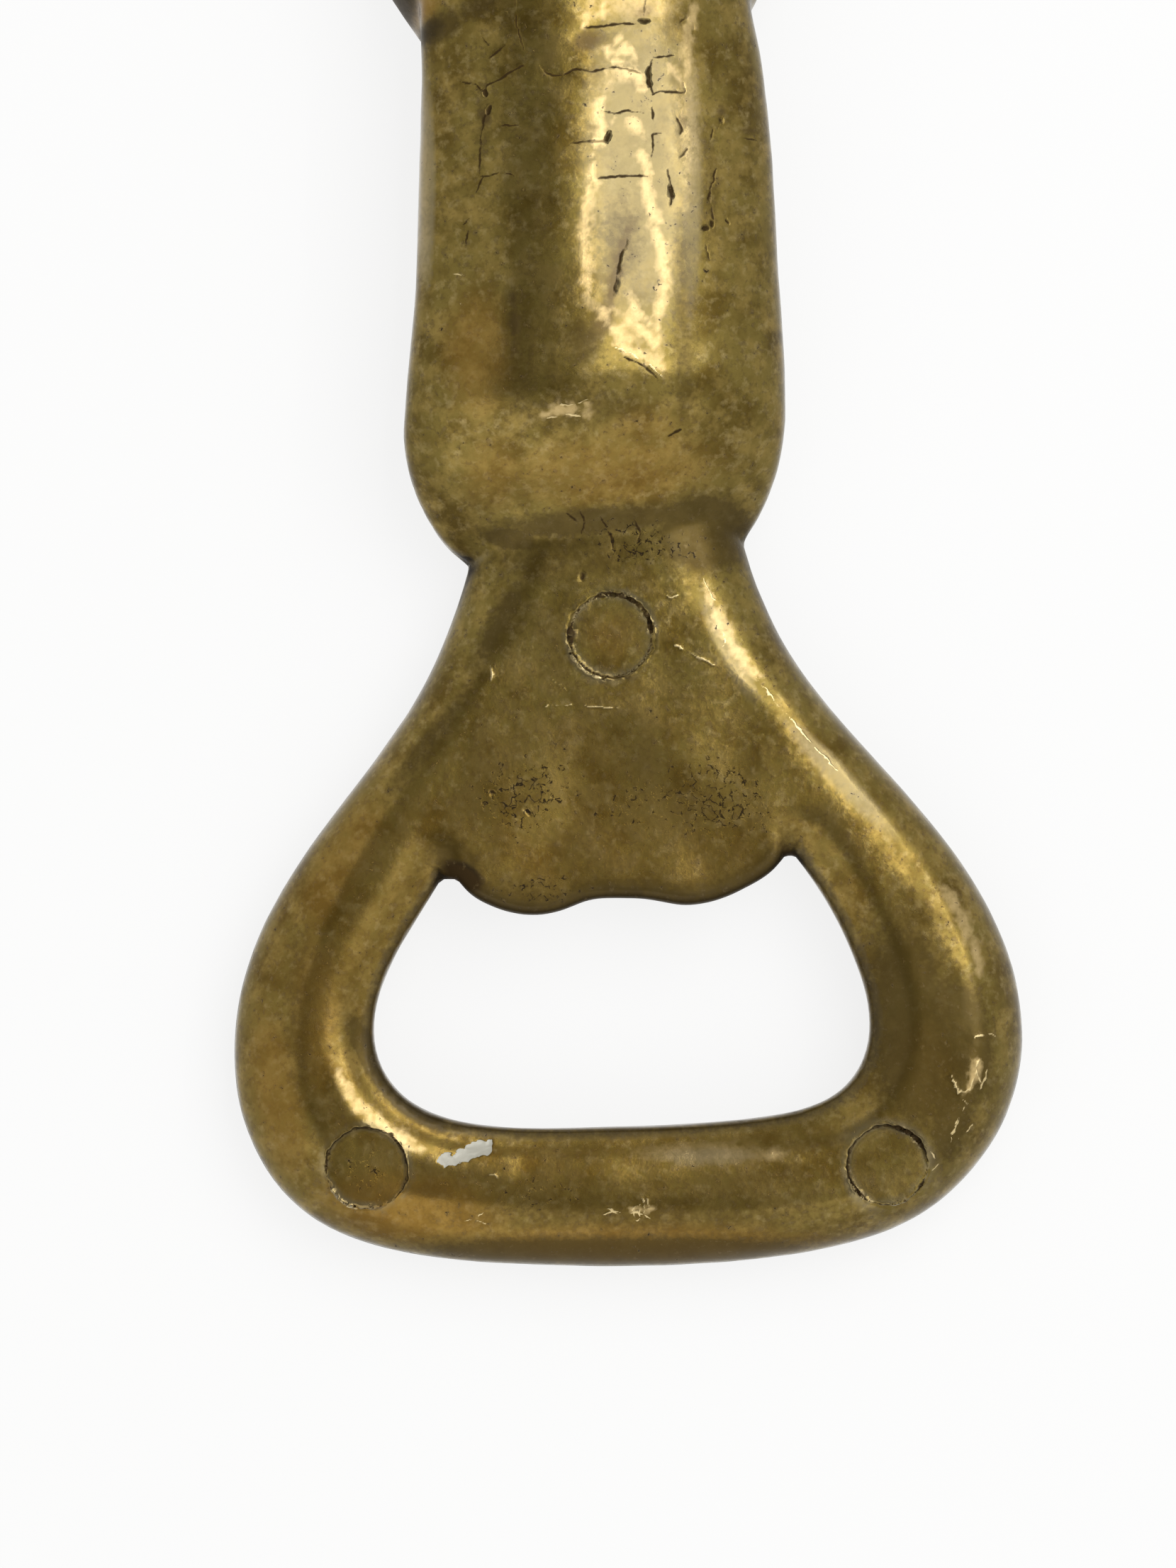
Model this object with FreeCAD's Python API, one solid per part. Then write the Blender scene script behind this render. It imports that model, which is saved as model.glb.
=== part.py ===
"""Souvenir bottle opener: one brass die casting, a loop with a prying lip on a stone-tower handle.

X runs across the loop, Y from the loop's far bar to the tower's battlements, and Z up out of the
back face. The front lies on z = 0, and the origin is the middle of the footprint. While it is
being built, y is measured from the outer edge of the far bar, and x from the middle of the loop.
"""
import FreeCAD, Part

import math
import os

Vector = FreeCAD.Vector

# ---------------------------------------------------------------- driving sizes, millimetres
# Loop: goes over a crown cap, 28.6 mm across when crimped.
loop_width = 47.0  # outside to outside
loop_length = 41.0  # outer edge of the far bar to the waist of the neck
loop_thickness = 6.6
left_bar = 8.4  # width of the loop's left side at its widest place
right_bar = 9.2
far_bar = 8.3  # width of the bar that rests on the cap
outer_rounding = 3.0
inner_rounding = 2.4
neck_width = 17.2  # at the waist
neck_offset = -1.1  # the neck stands a little left of the loop's middle
throat = 7.4  # solid metal between the loop's opening and the waist
neck_root = 8.4  # how far the loop's plate runs on into the tower

# Web and lip: the plate that fills the top of the opening, with the lip that lifts the cap.
web_thickness = 3.6
web_recess = 0.15  # the web lies this much below the loop's back face
web_overlap = 1.0  # how far the web is let into the bars
mouth = 12.6  # far bar to the lip's lowest point
lip_width = 19.6  # notch to notch
lip_offset = -0.4
lip_rounding = 1.1

# Tower: the handle, an oval stone tower that stands on the neck.
tower_axis = -2.15  # x of the tower's axis
tower_gap = 1.9  # waist of the neck to the tower's foot
tower_front = 0.05  # the loop's front face, which the opener rests on, stands this far proud
tower_width = 22.5  # at the swell of the foot
tower_depth = 11.8  # front to back at the same place
foot_width = 15.4
foot_depth = 4.2
foot_front = 1.3  # the foot's front face stands this far back from the loop's
foot_height = 7.0  # foot to the fullest place
shaft_width = 19.6  # under the parapet
shaft_depth = 11.2
tower_height = 31.0  # foot to the underside of the parapet
tower_bow = 0.3  # halfway up, the tower stands this much further to the right
course_tilt = 3.5  # the stone courses climb to the right by this angle, in degrees
course_lean = 16.0  # and to the back by this one
section_power = 2.5  # 2 is an ellipse, and more is squarer

# Parapet: the corbelled top with its battlements.
parapet_width = 24.4
parapet_depth = 12.6
parapet_tilt = 9.0
parapet_lean = 30.0  # of the underside
top_lean = 5.0  # of the battlements
corbel_height = 3.2
corbel_root = 0.8  # how far inside the shaft's skin the corbel starts
parapet_height = 17.0  # underside to the top of the merlons
crenel_width = 3.6
crenel_depth = 4.0
merlon_width = 5.8  # of the middle one

# Marks that the ejector pins of the die left in the back.
pin_mark_diameter = 5.0
neck_mark_depth = 0.3  # below the loop's back face
corner_mark_depth = 0.45
neck_mark_from_waist = 3.6
corner_mark_inset = 5.6  # from the outer edge of the far bar
corner_mark_span = 30.8  # centre to centre

# Carving on the front of the tower.
carving_depth = 0.6
door_width = 6.0
door_height = 9.0  # sill to the crown of its arch
door_sill = 9.0  # above the foot
slit_width = 1.3
slit_height = 4.6
slit_levels = (23.0,)  # middles of the arrow slits, above the foot

WELL_CLEAR = 40.0  # longer than any cut has to reach


# ---------------------------------------------------------------- outlines in the XY plane
def closed_face(points):
    """A flat face inside one smooth closed curve through the points."""
    curve = Part.BSplineCurve()
    curve.interpolate(Points=[Vector(x, y, 0) for x, y in points], PeriodicFlag=True)
    return Part.Face(Part.Wire(curve.toShape()))


def loop_outline():
    """The outside of the loop and its neck, counter-clockwise from the middle of the far bar."""
    half = loop_width / 2
    waist_right = neck_offset + neck_width / 2
    waist_left = neck_offset - neck_width / 2
    root = loop_length + neck_root
    # Each point is a share of the half width, and of the length up to the waist.
    right = [(0.42, 0.017), (0.75, 0.078), (0.945, 0.202), (1.0, 0.345), (0.923, 0.51), (0.69, 0.697)]
    left = [(0.54, 0.017), (0.82, 0.078), (0.97, 0.202), (1.0, 0.335), (0.915, 0.51), (0.694, 0.697)]
    points = [(-0.16 * half, 0.0)]
    points += [(half * x, loop_length * y) for x, y in right]
    points += [(waist_right + 0.20 * (half - waist_right), 0.853 * loop_length)]
    points += [(waist_right, loop_length)]
    points += [(neck_offset + 0.36 * neck_width, root - 0.31 * neck_root)]
    points += [(neck_offset, root)]
    points += [(neck_offset - 0.36 * neck_width, root - 0.31 * neck_root)]
    points += [(waist_left, loop_length)]
    points += [(waist_left - 0.17 * (half + waist_left), 0.853 * loop_length)]
    points += [(-half * x, loop_length * y) for x, y in reversed(left)]
    return points


def opening_outline(grow=0.0):
    """The loop's whole opening, as if there were no web, moved outwards by grow."""
    right_limit = loop_width / 2 - right_bar + grow
    left_limit = loop_width / 2 - left_bar + grow
    low = far_bar - grow
    span = loop_length - throat + grow - low
    right = [(0.30, 0.011), (0.54, 0.023), (0.74, 0.047), (0.925, 0.112), (1.0, 0.225)]
    right += [(0.945, 0.383), (0.79, 0.557), (0.52, 0.75), (0.22, 0.925)]
    left = [(0.60, 0.008), (0.84, 0.055), (0.974, 0.146), (1.0, 0.225), (0.94, 0.372), (0.765, 0.553)]
    left += [(0.56, 0.75), (0.30, 0.925)]
    points = [(-0.32 * left_limit, low)]
    points += [(right_limit * x, low + span * y) for x, y in right]
    points += [(-0.06 * left_limit, low + span)]
    points += [(-left_limit * x, low + span * y) for x, y in reversed(left)]
    return points


def lip_edge():
    """The lip's wavy lower edge, from the left notch to the right one."""
    half = lip_width / 2
    low = far_bar + mouth
    # Shares of the half width, and heights above the lowest point.
    wave = [(-1.0, 2.1), (-0.93, 1.35), (-0.78, 0.5), (-0.57, 0.0), (-0.36, 0.25), (-0.19, 0.85)]
    wave += [(0.0, 1.0), (0.18, 0.9), (0.36, 0.62), (0.56, 0.85), (0.75, 1.6), (0.9, 2.5), (0.99, 3.5)]
    return [(lip_offset + half * x, low + y) for x, y in wave]


# ---------------------------------------------------------------- loop, web and lip
def loop_plate():
    """The loop and neck: a plate with rounded inner and outer edges."""
    plate = closed_face(loop_outline()).extrude(Vector(0, 0, loop_thickness))
    plate = plate.makeFillet(outer_rounding, rim_edges(plate))
    hole = closed_face(opening_outline()).extrude(Vector(0, 0, loop_thickness))
    plate = plate.cut(hole)
    inner = [e for e in rim_edges(plate) if inside_opening(e)]
    return plate.makeFillet(inner_rounding, inner)


def rim_edges(plate):
    """The edges round a plate's front and back faces."""
    return [e for e in plate.Edges if e.BoundBox.ZLength < 0.01 and e.Length > loop_width / 2]


def inside_opening(edge):
    """Whether an edge is the rim of the opening, which is shorter than the outer one."""
    box = edge.BoundBox
    return abs(box.YMin - far_bar) < 0.3 and box.ZLength < 0.01


def web():
    """The plate in the top of the opening, cut along the lip's edge."""
    top = loop_thickness - web_recess
    low = top - web_thickness
    plate = closed_face(opening_outline(web_overlap)).extrude(Vector(0, 0, web_thickness))
    edge = lip_edge()
    curve = Part.BSplineCurve()
    curve.interpolate([Vector(x, y, 0) for x, y in edge])
    start = Vector(edge[0][0], edge[0][1], 0)
    end = Vector(edge[-1][0], edge[-1][1], 0)
    corners = [end, Vector(WELL_CLEAR, end.y, 0), Vector(WELL_CLEAR, -WELL_CLEAR, 0)]
    corners += [Vector(-WELL_CLEAR, -WELL_CLEAR, 0), Vector(-WELL_CLEAR, start.y, 0), start]
    sides = [Part.makeLine(a, b) for a, b in zip(corners, corners[1:])]
    below = Part.Face(Part.Wire([curve.toShape()] + sides)).extrude(Vector(0, 0, web_thickness))
    plate = plate.cut(below)
    lip = [e for e in plate.Edges if is_lip(e, edge)]
    plate = plate.makeFillet(lip_rounding, lip)
    plate.translate(Vector(0, 0, low))
    return plate


def is_lip(edge, wave):
    """Whether an edge of the web runs along the lip."""
    box = edge.BoundBox
    return box.ZLength < 0.01 and abs(box.YMin - (far_bar + mouth)) < 0.2 and box.XLength < lip_width * 1.05


# ---------------------------------------------------------------- tower
def foot_y():
    """y of the tower's foot on its axis, a little above the waist of the neck."""
    return loop_length + tower_gap


def oval(height, width, depth, tilt, lean, front=tower_front):
    """A closed section of the tower that climbs by tilt to the right and by lean to the back.

    Its front is at z = front, and its middle is at height above the tower's foot.
    """
    bow = tower_bow * math.sin(math.pi * min(height / tower_height, 1.0))
    climb_right = math.tan(math.radians(tilt))
    climb_back = math.tan(math.radians(lean))
    points = []
    for step in range(24):
        angle = 2 * math.pi * step / 24
        cosine = math.cos(angle)
        sine = math.sin(angle)
        side = math.copysign(abs(cosine) ** (2 / section_power), cosine) * width / 2
        up = math.copysign(abs(sine) ** (2 / section_power), sine) * depth / 2
        y = foot_y() + height + side * climb_right + up * climb_back
        points.append(Vector(tower_axis + bow + side, y, front + depth / 2 + up))
    curve = Part.BSplineCurve()
    curve.interpolate(Points=points, PeriodicFlag=True)
    return Part.Wire(curve.toShape())


def swell(share):
    """How far the foot has filled out, from 0 to 1, at a share of its height."""
    return (1 - (1 - share) ** 2) ** (2 / 3)


def shaft(shrink=0.0):
    """The tower from its foot to inside the parapet, with its skin taken off by shrink."""
    # Height above the foot, width, depth, and how far the front stands back.
    stations = []
    for share in (0.01, 0.12, 0.27, 0.45, 0.70, 1.0):
        full = swell(share)
        width = foot_width + full * (tower_width - foot_width)
        depth = foot_depth + full * (tower_depth - foot_depth)
        stations.append((share * foot_height, width, depth, tower_front + foot_front * (1 - full)))
    # Height above the swell, and how far the tower has narrowed, from 0 to 1.
    taper = [(3.0, 0.05), (8.0, 0.30), (14.0, 0.46), (20.0, 0.72), (25.0, 1.0), (31.0, 1.05)]
    for rise, share in taper:
        width = tower_width + share * (shaft_width - tower_width)
        depth = tower_depth + share * (shaft_depth - tower_depth)
        stations.append((foot_height + rise, width, depth, tower_front))
    wires = []
    for height, width, depth, front in stations:
        inner_width = width - 2 * shrink
        inner_depth = depth - 2 * shrink
        wires.append(oval(height, inner_width, inner_depth, course_tilt, course_lean, front + shrink))
    return Part.makeLoft(wires, True)


def parapet():
    """The corbelled top with its battlements."""
    shoulder = tower_height + corbel_height
    top = tower_height + parapet_height
    root_front = tower_front + corbel_root
    root_width = shaft_width - 2 * corbel_root
    root_depth = shaft_depth - 2 * corbel_root
    sections = [
        oval(tower_height, root_width, root_depth, parapet_tilt, parapet_lean, root_front),
        oval(shoulder, parapet_width, parapet_depth, parapet_tilt, parapet_lean),
        oval(top, parapet_width, parapet_depth, course_tilt, top_lean),
    ]
    block = Part.makeLoft(sections, True, True)
    offset = (merlon_width + crenel_width) / 2
    for side in (-offset, offset):
        block = block.cut(gap(side, crenel_width, 2 * WELL_CLEAR))
    return block.cut(gap(0.0, 2 * WELL_CLEAR, crenel_width))


def gap(x, width, depth):
    """A cutter for one gap between merlons, width across the tower by depth from front to back."""
    cutter = Part.makeBox(width, WELL_CLEAR, depth)
    cutter.translate(Vector(x - width / 2, -crenel_depth, -depth / 2))
    cutter.rotate(Vector(0, 0, 0), Vector(1, 0, 0), top_lean)
    cutter.rotate(Vector(0, 0, 0), Vector(0, 0, 1), course_tilt)
    cutter.translate(Vector(tower_axis, foot_y() + tower_height + parapet_height, parapet_depth / 2))
    return cutter


def carve_front(tower):
    """The tower with an arched doorway and arrow slits sunk in its front by carving_depth."""
    foot = foot_y()
    radius = door_width / 2
    arch_y = foot + door_sill + door_height - radius
    door = Part.makeBox(door_width, door_height - radius, WELL_CLEAR)
    door.translate(Vector(tower_axis - radius, foot + door_sill, -WELL_CLEAR / 2))
    arch = Part.makeCylinder(radius, WELL_CLEAR, Vector(tower_axis, arch_y, -WELL_CLEAR / 2))
    cutter = door.fuse(arch)
    for level in slit_levels:
        slit = Part.makeBox(slit_width, slit_height, WELL_CLEAR)
        slit.translate(Vector(tower_axis - slit_width / 2, foot + level - slit_height / 2, -WELL_CLEAR / 2))
        cutter = cutter.fuse(slit)
    half_space = Part.makeBox(2 * WELL_CLEAR, 4 * WELL_CLEAR, WELL_CLEAR)
    half_space.translate(Vector(-WELL_CLEAR, 0, -WELL_CLEAR + shaft_depth / 3))
    core = shaft(carving_depth)
    return tower.cut(cutter.common(half_space).cut(core))


# ---------------------------------------------------------------- ejector pin marks
def pin_mark(casting, x, y, depth):
    """The casting with the flat round mark of one ejector pin, sunk below the loop's back by depth.

    It is a recess where the back is higher than the pin's end, and a low boss where it is lower.
    """
    level = loop_thickness - depth
    radius = pin_mark_diameter / 2
    pad = Part.makeCylinder(radius, level - loop_thickness / 2, Vector(x, y, loop_thickness / 2))
    above = Part.makeCylinder(radius, WELL_CLEAR, Vector(x, y, level))
    return casting.fuse(pad).cut(above)


def head():
    """The loop, web and lip with the marks of the three ejector pins."""
    shape = loop_plate().fuse(web())
    shape = pin_mark(shape, neck_offset, loop_length - neck_mark_from_waist, neck_mark_depth)
    for side in (-1, 1):
        shape = pin_mark(shape, side * corner_mark_span / 2, corner_mark_inset, corner_mark_depth)
    return shape


def opener():
    """The whole casting, with its footprint's middle at the origin."""
    body = head().fuse(carve_front(shaft()).fuse(parapet()))
    box = body.optimalBoundingBox(False)
    body.translate(Vector(-(box.XMin + box.XMax) / 2, -(box.YMin + box.YMax) / 2, -box.ZMin))
    return body


def main():
    """Writes the casting's STEP file."""
    os.makedirs("parts", exist_ok=True)
    body = opener()
    print("solids", len(body.Solids), "valid", body.isValid(), "volume", round(body.Volume, 1))
    print("box", body.BoundBox)
    body.exportStep("parts/opener_casting.step")


main()
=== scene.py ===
"""Looks of a souvenir bottle opener: one aged, brass-plated die casting.

A rounded triangular loop with a prying lip carries a handle shaped as an oval stone tower. The
casting's skin is one closed mesh, shaped by a field of distances in which each sub-assembly adds
or takes away its own form. Lines and unevenness are then laid on the skin by node trees.

Inside the classes x is measured from the middle of the loop, y from the outer edge of its far
bar and z up from the table, all in millimetres. The finished mesh is in metres, in the frame.
"""
from __future__ import annotations

import logging
import math
from collections.abc import Callable, Sequence
from dataclasses import dataclass, field
from enum import Enum

import bmesh
import bpy
import numpy as np
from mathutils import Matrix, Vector

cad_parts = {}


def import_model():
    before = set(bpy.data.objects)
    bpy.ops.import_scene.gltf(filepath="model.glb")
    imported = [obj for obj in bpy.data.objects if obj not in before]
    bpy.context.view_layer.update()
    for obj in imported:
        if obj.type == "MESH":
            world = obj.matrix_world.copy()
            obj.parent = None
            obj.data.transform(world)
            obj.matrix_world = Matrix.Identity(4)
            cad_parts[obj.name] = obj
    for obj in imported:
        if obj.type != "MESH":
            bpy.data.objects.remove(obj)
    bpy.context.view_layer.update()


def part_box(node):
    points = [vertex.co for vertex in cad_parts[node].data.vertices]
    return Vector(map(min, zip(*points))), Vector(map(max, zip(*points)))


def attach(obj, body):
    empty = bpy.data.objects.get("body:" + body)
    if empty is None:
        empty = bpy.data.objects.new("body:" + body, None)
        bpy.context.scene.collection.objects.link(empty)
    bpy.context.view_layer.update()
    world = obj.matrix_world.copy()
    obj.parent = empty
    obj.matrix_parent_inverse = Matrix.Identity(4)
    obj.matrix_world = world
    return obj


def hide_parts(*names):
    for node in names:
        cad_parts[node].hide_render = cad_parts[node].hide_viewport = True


LOG = logging.getLogger("opener")
MM = 0.001  # metres in a millimetre
NODE = "opener_casting"
SLOT = "aged_brass"
BATCH = 8192  # places that are measured at once, to spare memory
FAR = 99.0  # mm, further than anything on the opener reaches
LONGEST_MOVE = 0.3  # mm that a point of the mesh may move at once

Point = tuple[float, float]
Point3 = tuple[float, float, float]
Span = tuple[float, float]  # where a change starts and where it ends
Array = np.ndarray
Field = Callable[[Array, Array, Array], Array]
Placer = Callable[[float, float], Vector]  # takes x and y on the opener to a place in the frame
Socket = bpy.types.NodeSocket
Tree = bpy.types.NodeTree


class Mask(str, Enum):
    """Names of the values that the mesh carries from its shape to its finish."""

    GRIME = "grime"  # hollows that nothing rubs clean, darkened also as painted shade; painted shade under the parapet, at the lip's edge and in the left notch
    WEAR = "wear"  # proud places that are rubbed, and patches painted paler as sheen where the lamp's highlights lie
    SOIL = "soil"  # broad smears of old dirt, and painted shade in creases, at the notches, round the opening and over dimmed highlights
    RUST = "rust"  # where the tarnish is orange-brown
    CRAZE = "craze"  # where the plating is crazed
    JOINT = "joint"  # open joints between stones, and other crevices; painted shade in the notches and the pin marks' crevices
    DENT = "dent"  # soft dents and darker stones; the dents low on the tower are painted dark as a dark reflection
    GLINT = "glint"  # painted highlights, ragged bright places where the lamp's reflection lies, and a few rubbed smudges
    SCRATCH = "scratch"  # hairlines rubbed bright, some of them thin painted highlights
    BARE = "bare"  # zinc without its plating


# ---------------------------------------------------------------- curves and distances
def smooth_curve(points: Sequence[Point], closed: bool, samples: int) -> Array:
    """Points along one cubic curve that passes through the given ones.

    Args:
        points: what the curve passes through.
        closed: whether it comes back to its start.
        samples: how many points are wanted.

    Returns:
        An array of samples by two.
    """
    knots = np.array(points, float)
    if closed:
        knots = np.vstack([knots, knots[:1]])
    spans = np.hypot(*np.diff(knots, axis=0).T)
    places = np.concatenate([[0.0], np.cumsum(spans)])
    slopes = np.diff(knots, axis=0) / spans[:, None]
    count = len(knots)
    matrix = np.zeros((count, count))
    right = np.zeros((count, 2))
    for i in range(1, count - 1):
        matrix[i, i - 1 : i + 2] = spans[i - 1], 2 * (spans[i - 1] + spans[i]), spans[i]
        right[i] = 6 * (slopes[i] - slopes[i - 1])
    matrix[0, 0] = 1
    if closed:
        matrix[0, -1] = -1
        matrix[-1, [0, 1, -2, -1]] = 2 * spans[0], spans[0], spans[-1], 2 * spans[-1]
        right[-1] = 6 * (slopes[0] - slopes[-1])
    else:
        matrix[-1, -1] = 1
    bends = np.linalg.solve(matrix, right)
    at = np.linspace(0, places[-1], samples, endpoint=not closed)
    k = np.clip(np.searchsorted(places, at, side="right") - 1, 0, count - 2)
    a = ((places[k + 1] - at) / spans[k])[:, None]
    b = 1 - a
    bow = (a**3 - a) * bends[k] + (b**3 - b) * bends[k + 1]
    return a * knots[k] + b * knots[k + 1] + bow * spans[k, None] ** 2 / 6


def to_segments(x: Array, y: Array, start: Array, end: Array) -> Array:
    """Distance from each place to the nearest of some straight segments.

    Args:
        x: places across, in one row.
        y: places along, in one row.
        start: segment starts, count by two.
        end: segment ends, count by two.

    Returns:
        One distance for each place.
    """
    run = end - start
    reach = np.maximum((run**2).sum(1), 1e-12)
    nearest = np.empty(x.size)
    for low in range(0, x.size, BATCH):
        part = slice(low, low + BATCH)
        dx = x[part, None] - start[:, 0]
        dy = y[part, None] - start[:, 1]
        share = np.clip((dx * run[:, 0] + dy * run[:, 1]) / reach, 0, 1)
        off = (dx - share * run[:, 0]) ** 2 + (dy - share * run[:, 1]) ** 2
        nearest[part] = np.sqrt(off.min(1))
    return nearest


class DistanceMap:
    """Distances in the XY plane, worked out once on a grid and read off between its samples."""

    step = 0.12  # mm from one sample to the next

    def __init__(self, low: Array, high: Array, measure: Callable[..., Array]) -> None:
        """Fills the grid.

        Args:
            low: its corner with the lowest x and y.
            high: its corner with the highest x and y.
            measure: takes rows of x and y to their distances.
        """
        counts = np.ceil((high - low) / self.step).astype(int) + 1
        axes = [start + self.step * np.arange(count) for start, count in zip(low, counts)]
        x, y = (a.ravel() for a in np.meshgrid(*axes, indexing="ij"))
        self.low = low
        self.values = measure(x, y).reshape(counts)

    def read(self, x: Array, y: Array) -> Array:
        """Distances at places in the XY plane.

        Args:
            x: places across.
            y: places along, in a shape that goes with x.

        Returns:
            One distance for each place. Off the map it grows with the way back to the map.
        """
        x, y = np.broadcast_arrays(x, y)
        limit = np.array(self.values.shape) - 1.001
        column = (x - self.low[0]) / self.step
        row = (y - self.low[1]) / self.step
        near_column = np.clip(column, 0, limit[0])
        near_row = np.clip(row, 0, limit[1])
        i = near_column.astype(int)
        j = near_row.astype(int)
        right = near_column - i
        above = near_row - j
        low = self.values[i, j] * (1 - right) + self.values[i + 1, j] * right
        high = self.values[i, j + 1] * (1 - right) + self.values[i + 1, j + 1] * right
        beyond = np.hypot(column - near_column, row - near_row)
        return low * (1 - above) + high * above + self.step * beyond


class Outline:
    """A closed outline in the XY plane, with signed distances, negative inside."""

    margin = 3.0  # mm of map round the outline

    def __init__(self, points: Array) -> None:
        """Maps the distances round the outline that the points make."""
        self.points = points
        self.map = DistanceMap(points.min(0) - self.margin, points.max(0) + self.margin, self.measure)

    def measure(self, x: Array, y: Array) -> Array:
        """Signed distances, worked out in full.

        Args:
            x: places across, in one row.
            y: places along, in one row.

        Returns:
            One distance for each place.
        """
        after = np.roll(self.points, -1, axis=0)
        inside = np.zeros(x.size, bool)
        for (ax, ay), (bx, by) in zip(self.points, after):
            if ay != by:
                crossed = (ay > y) != (by > y)
                inside ^= crossed & (x < ax + (bx - ax) * (y - ay) / (by - ay))
        far = to_segments(x, y, self.points, after)
        return np.where(inside, -far, far)

    def distance(self, x: Array, y: Array) -> Array:
        """Signed distances at places in the XY plane, read off the map."""
        return self.map.read(x, y)


def merge(a: Array, b: Array, fillet: float) -> Array:
    """Two solids as one, with a fillet of about that size where they meet."""
    share = np.clip(0.5 + 0.5 * (b - a) / fillet, 0, 1)
    return b + (a - b) * share - fillet * share * (1 - share)


def trim(a: Array, b: Array, fillet: float) -> Array:
    """What two solids share, with its new edge eased by about that size."""
    return -merge(-a, -b, fillet)


def rounded(side: Array, face: Array, radius: float, power: Array | float = 2.0) -> Array:
    """A slab with the given side and face distances, its edges rounded by the radius.

    Args:
        side: distance from the side.
        face: distance from the face.
        radius: how far in the rounding starts.
        power: 2 for a round edge, less for one that bends off more suddenly.

    Returns:
        Signed distances from the slab.
    """
    across = side + radius
    up = face + radius
    corner = (np.maximum(across, 0) ** power + np.maximum(up, 0) ** power) ** (1 / power)
    return np.minimum(np.maximum(across, up), 0) + corner - radius


def ease(value: Array, low: float, high: float) -> Array:
    """Rises smoothly from 0 at low to 1 at high."""
    share = np.clip((value - low) / (high - low), 0, 1)
    return share * share * (3 - 2 * share)


# ---------------------------------------------------------------- head
@dataclass
class Loop:
    """The rounded triangular loop that goes over a crown cap, with the root of the neck."""

    width: float = 47.0
    length: float = 41.0  # far bar to the waist of the neck
    thickness: float = 6.6
    left_bar: float = 8.4
    right_bar: float = 9.2
    far_bar: float = 8.3
    edge: float = 3.2  # how far down the roundings reach
    leg_shoulder: float = 3.2  # how far in the outer rounding reaches, on the legs
    left_shoulder: float = 4.2  # and on the left bar and the far bar
    right_shoulder: float = 3.1
    bar_power: float = 1.6  # the bars' flat crest bends off more suddenly than the legs'
    neck_shoulder: float = 4.6
    inner_shoulder: float = 3.0
    neck_width: float = 17.2
    neck_offset: float = -1.1
    neck_root: float = 8.4
    throat: float = 7.4  # opening to the waist
    bar_turn: Span = (0.0, 14.0)  # x between which the left shoulder turns into the right one
    leg_turn: Span = (15.0, 27.0)  # y between which the bars turn into the legs
    crest_turn: Span = (17.0, 27.0)  # y between which the bars' crest turns round
    neck_start: float = 33.0  # y from which the neck's shoulder takes over

    def __post_init__(self) -> None:
        """Maps the loop's two outlines."""
        self.outside = Outline(smooth_curve(self.outside_points(), True, 320))
        self.opening = Outline(smooth_curve(self.opening_points(), True, 260))

    def outside_points(self) -> list[Point]:
        """The outside, counter-clockwise from the far bar, as shares of the loop's sizes.

        Returns:
            What its curve passes through.
        """
        half = self.width / 2
        waist_right = self.neck_offset + self.neck_width / 2
        waist_left = self.neck_offset - self.neck_width / 2
        root = self.length + self.neck_root
        right = [(0.42, 0.017), (0.75, 0.078), (0.945, 0.202), (1.0, 0.345), (0.923, 0.51), (0.69, 0.697)]
        left = [(0.54, 0.017), (0.82, 0.078), (0.97, 0.202), (1.0, 0.335), (0.915, 0.51), (0.694, 0.697)]
        points = [(-0.16 * half, 0.0)]
        points += [(half * x, self.length * y) for x, y in right]
        points += [(waist_right + 0.20 * (half - waist_right), 0.853 * self.length)]
        points += [(waist_right, self.length)]
        points += [(self.neck_offset + 0.36 * self.neck_width, root - 0.31 * self.neck_root)]
        points += [(self.neck_offset, root)]
        points += [(self.neck_offset - 0.36 * self.neck_width, root - 0.31 * self.neck_root)]
        points += [(waist_left, self.length)]
        points += [(waist_left - 0.17 * (half + waist_left), 0.853 * self.length)]
        points += [(-half * x, self.length * y) for x, y in reversed(left)]
        return points

    def opening_points(self) -> list[Point]:
        """The whole opening, as if there were no web, from its lower left.

        Returns:
            What its curve passes through.
        """
        right_limit = self.width / 2 - self.right_bar
        left_limit = self.width / 2 - self.left_bar
        span = self.length - self.throat - self.far_bar
        right = [(0.30, 0.011), (0.54, 0.023), (0.74, 0.047), (0.925, 0.112), (1.0, 0.225)]
        right += [(0.945, 0.383), (0.79, 0.557), (0.52, 0.75), (0.22, 0.925)]
        left = [(0.60, 0.008), (0.84, 0.055), (0.974, 0.146), (1.0, 0.225), (0.94, 0.372)]
        left += [(0.765, 0.553), (0.56, 0.75), (0.30, 0.925)]
        points = [(-0.32 * left_limit, self.far_bar)]
        points += [(right_limit * x, self.far_bar + span * y) for x, y in right]
        points += [(-0.06 * left_limit, self.far_bar + span)]
        points += [(-left_limit * x, self.far_bar + span * y) for x, y in reversed(left)]
        return points

    def shoulder(self, x: Array, y: Array) -> Array:
        """How far in from the outside the rounding reaches, which differs round the loop.

        Args:
            x: places across.
            y: places along.

        Returns:
            The reach at each place.
        """
        bar = self.left_shoulder + (self.right_shoulder - self.left_shoulder) * ease(x, *self.bar_turn)
        leg = self.leg_shoulder + (bar - self.leg_shoulder) * (1 - ease(y, *self.leg_turn))
        return leg + (self.neck_shoulder - self.leg_shoulder) * ease(y, self.neck_start, self.length)

    def distance(self, x: Array, y: Array, z: Array) -> Array:
        """Signed distance from the loop's outer form, as if it had no opening.

        Args:
            x: places across.
            y: places along.
            z: places above the table.

        Returns:
            One distance for each place, negative inside.
        """
        face = np.abs(z - self.thickness / 2) - self.thickness / 2
        side = self.outside.distance(x, y) * self.edge / self.shoulder(x, y)
        power = self.bar_power + (2 - self.bar_power) * ease(y, *self.crest_turn)
        return rounded(side, face, self.edge, power)


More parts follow.
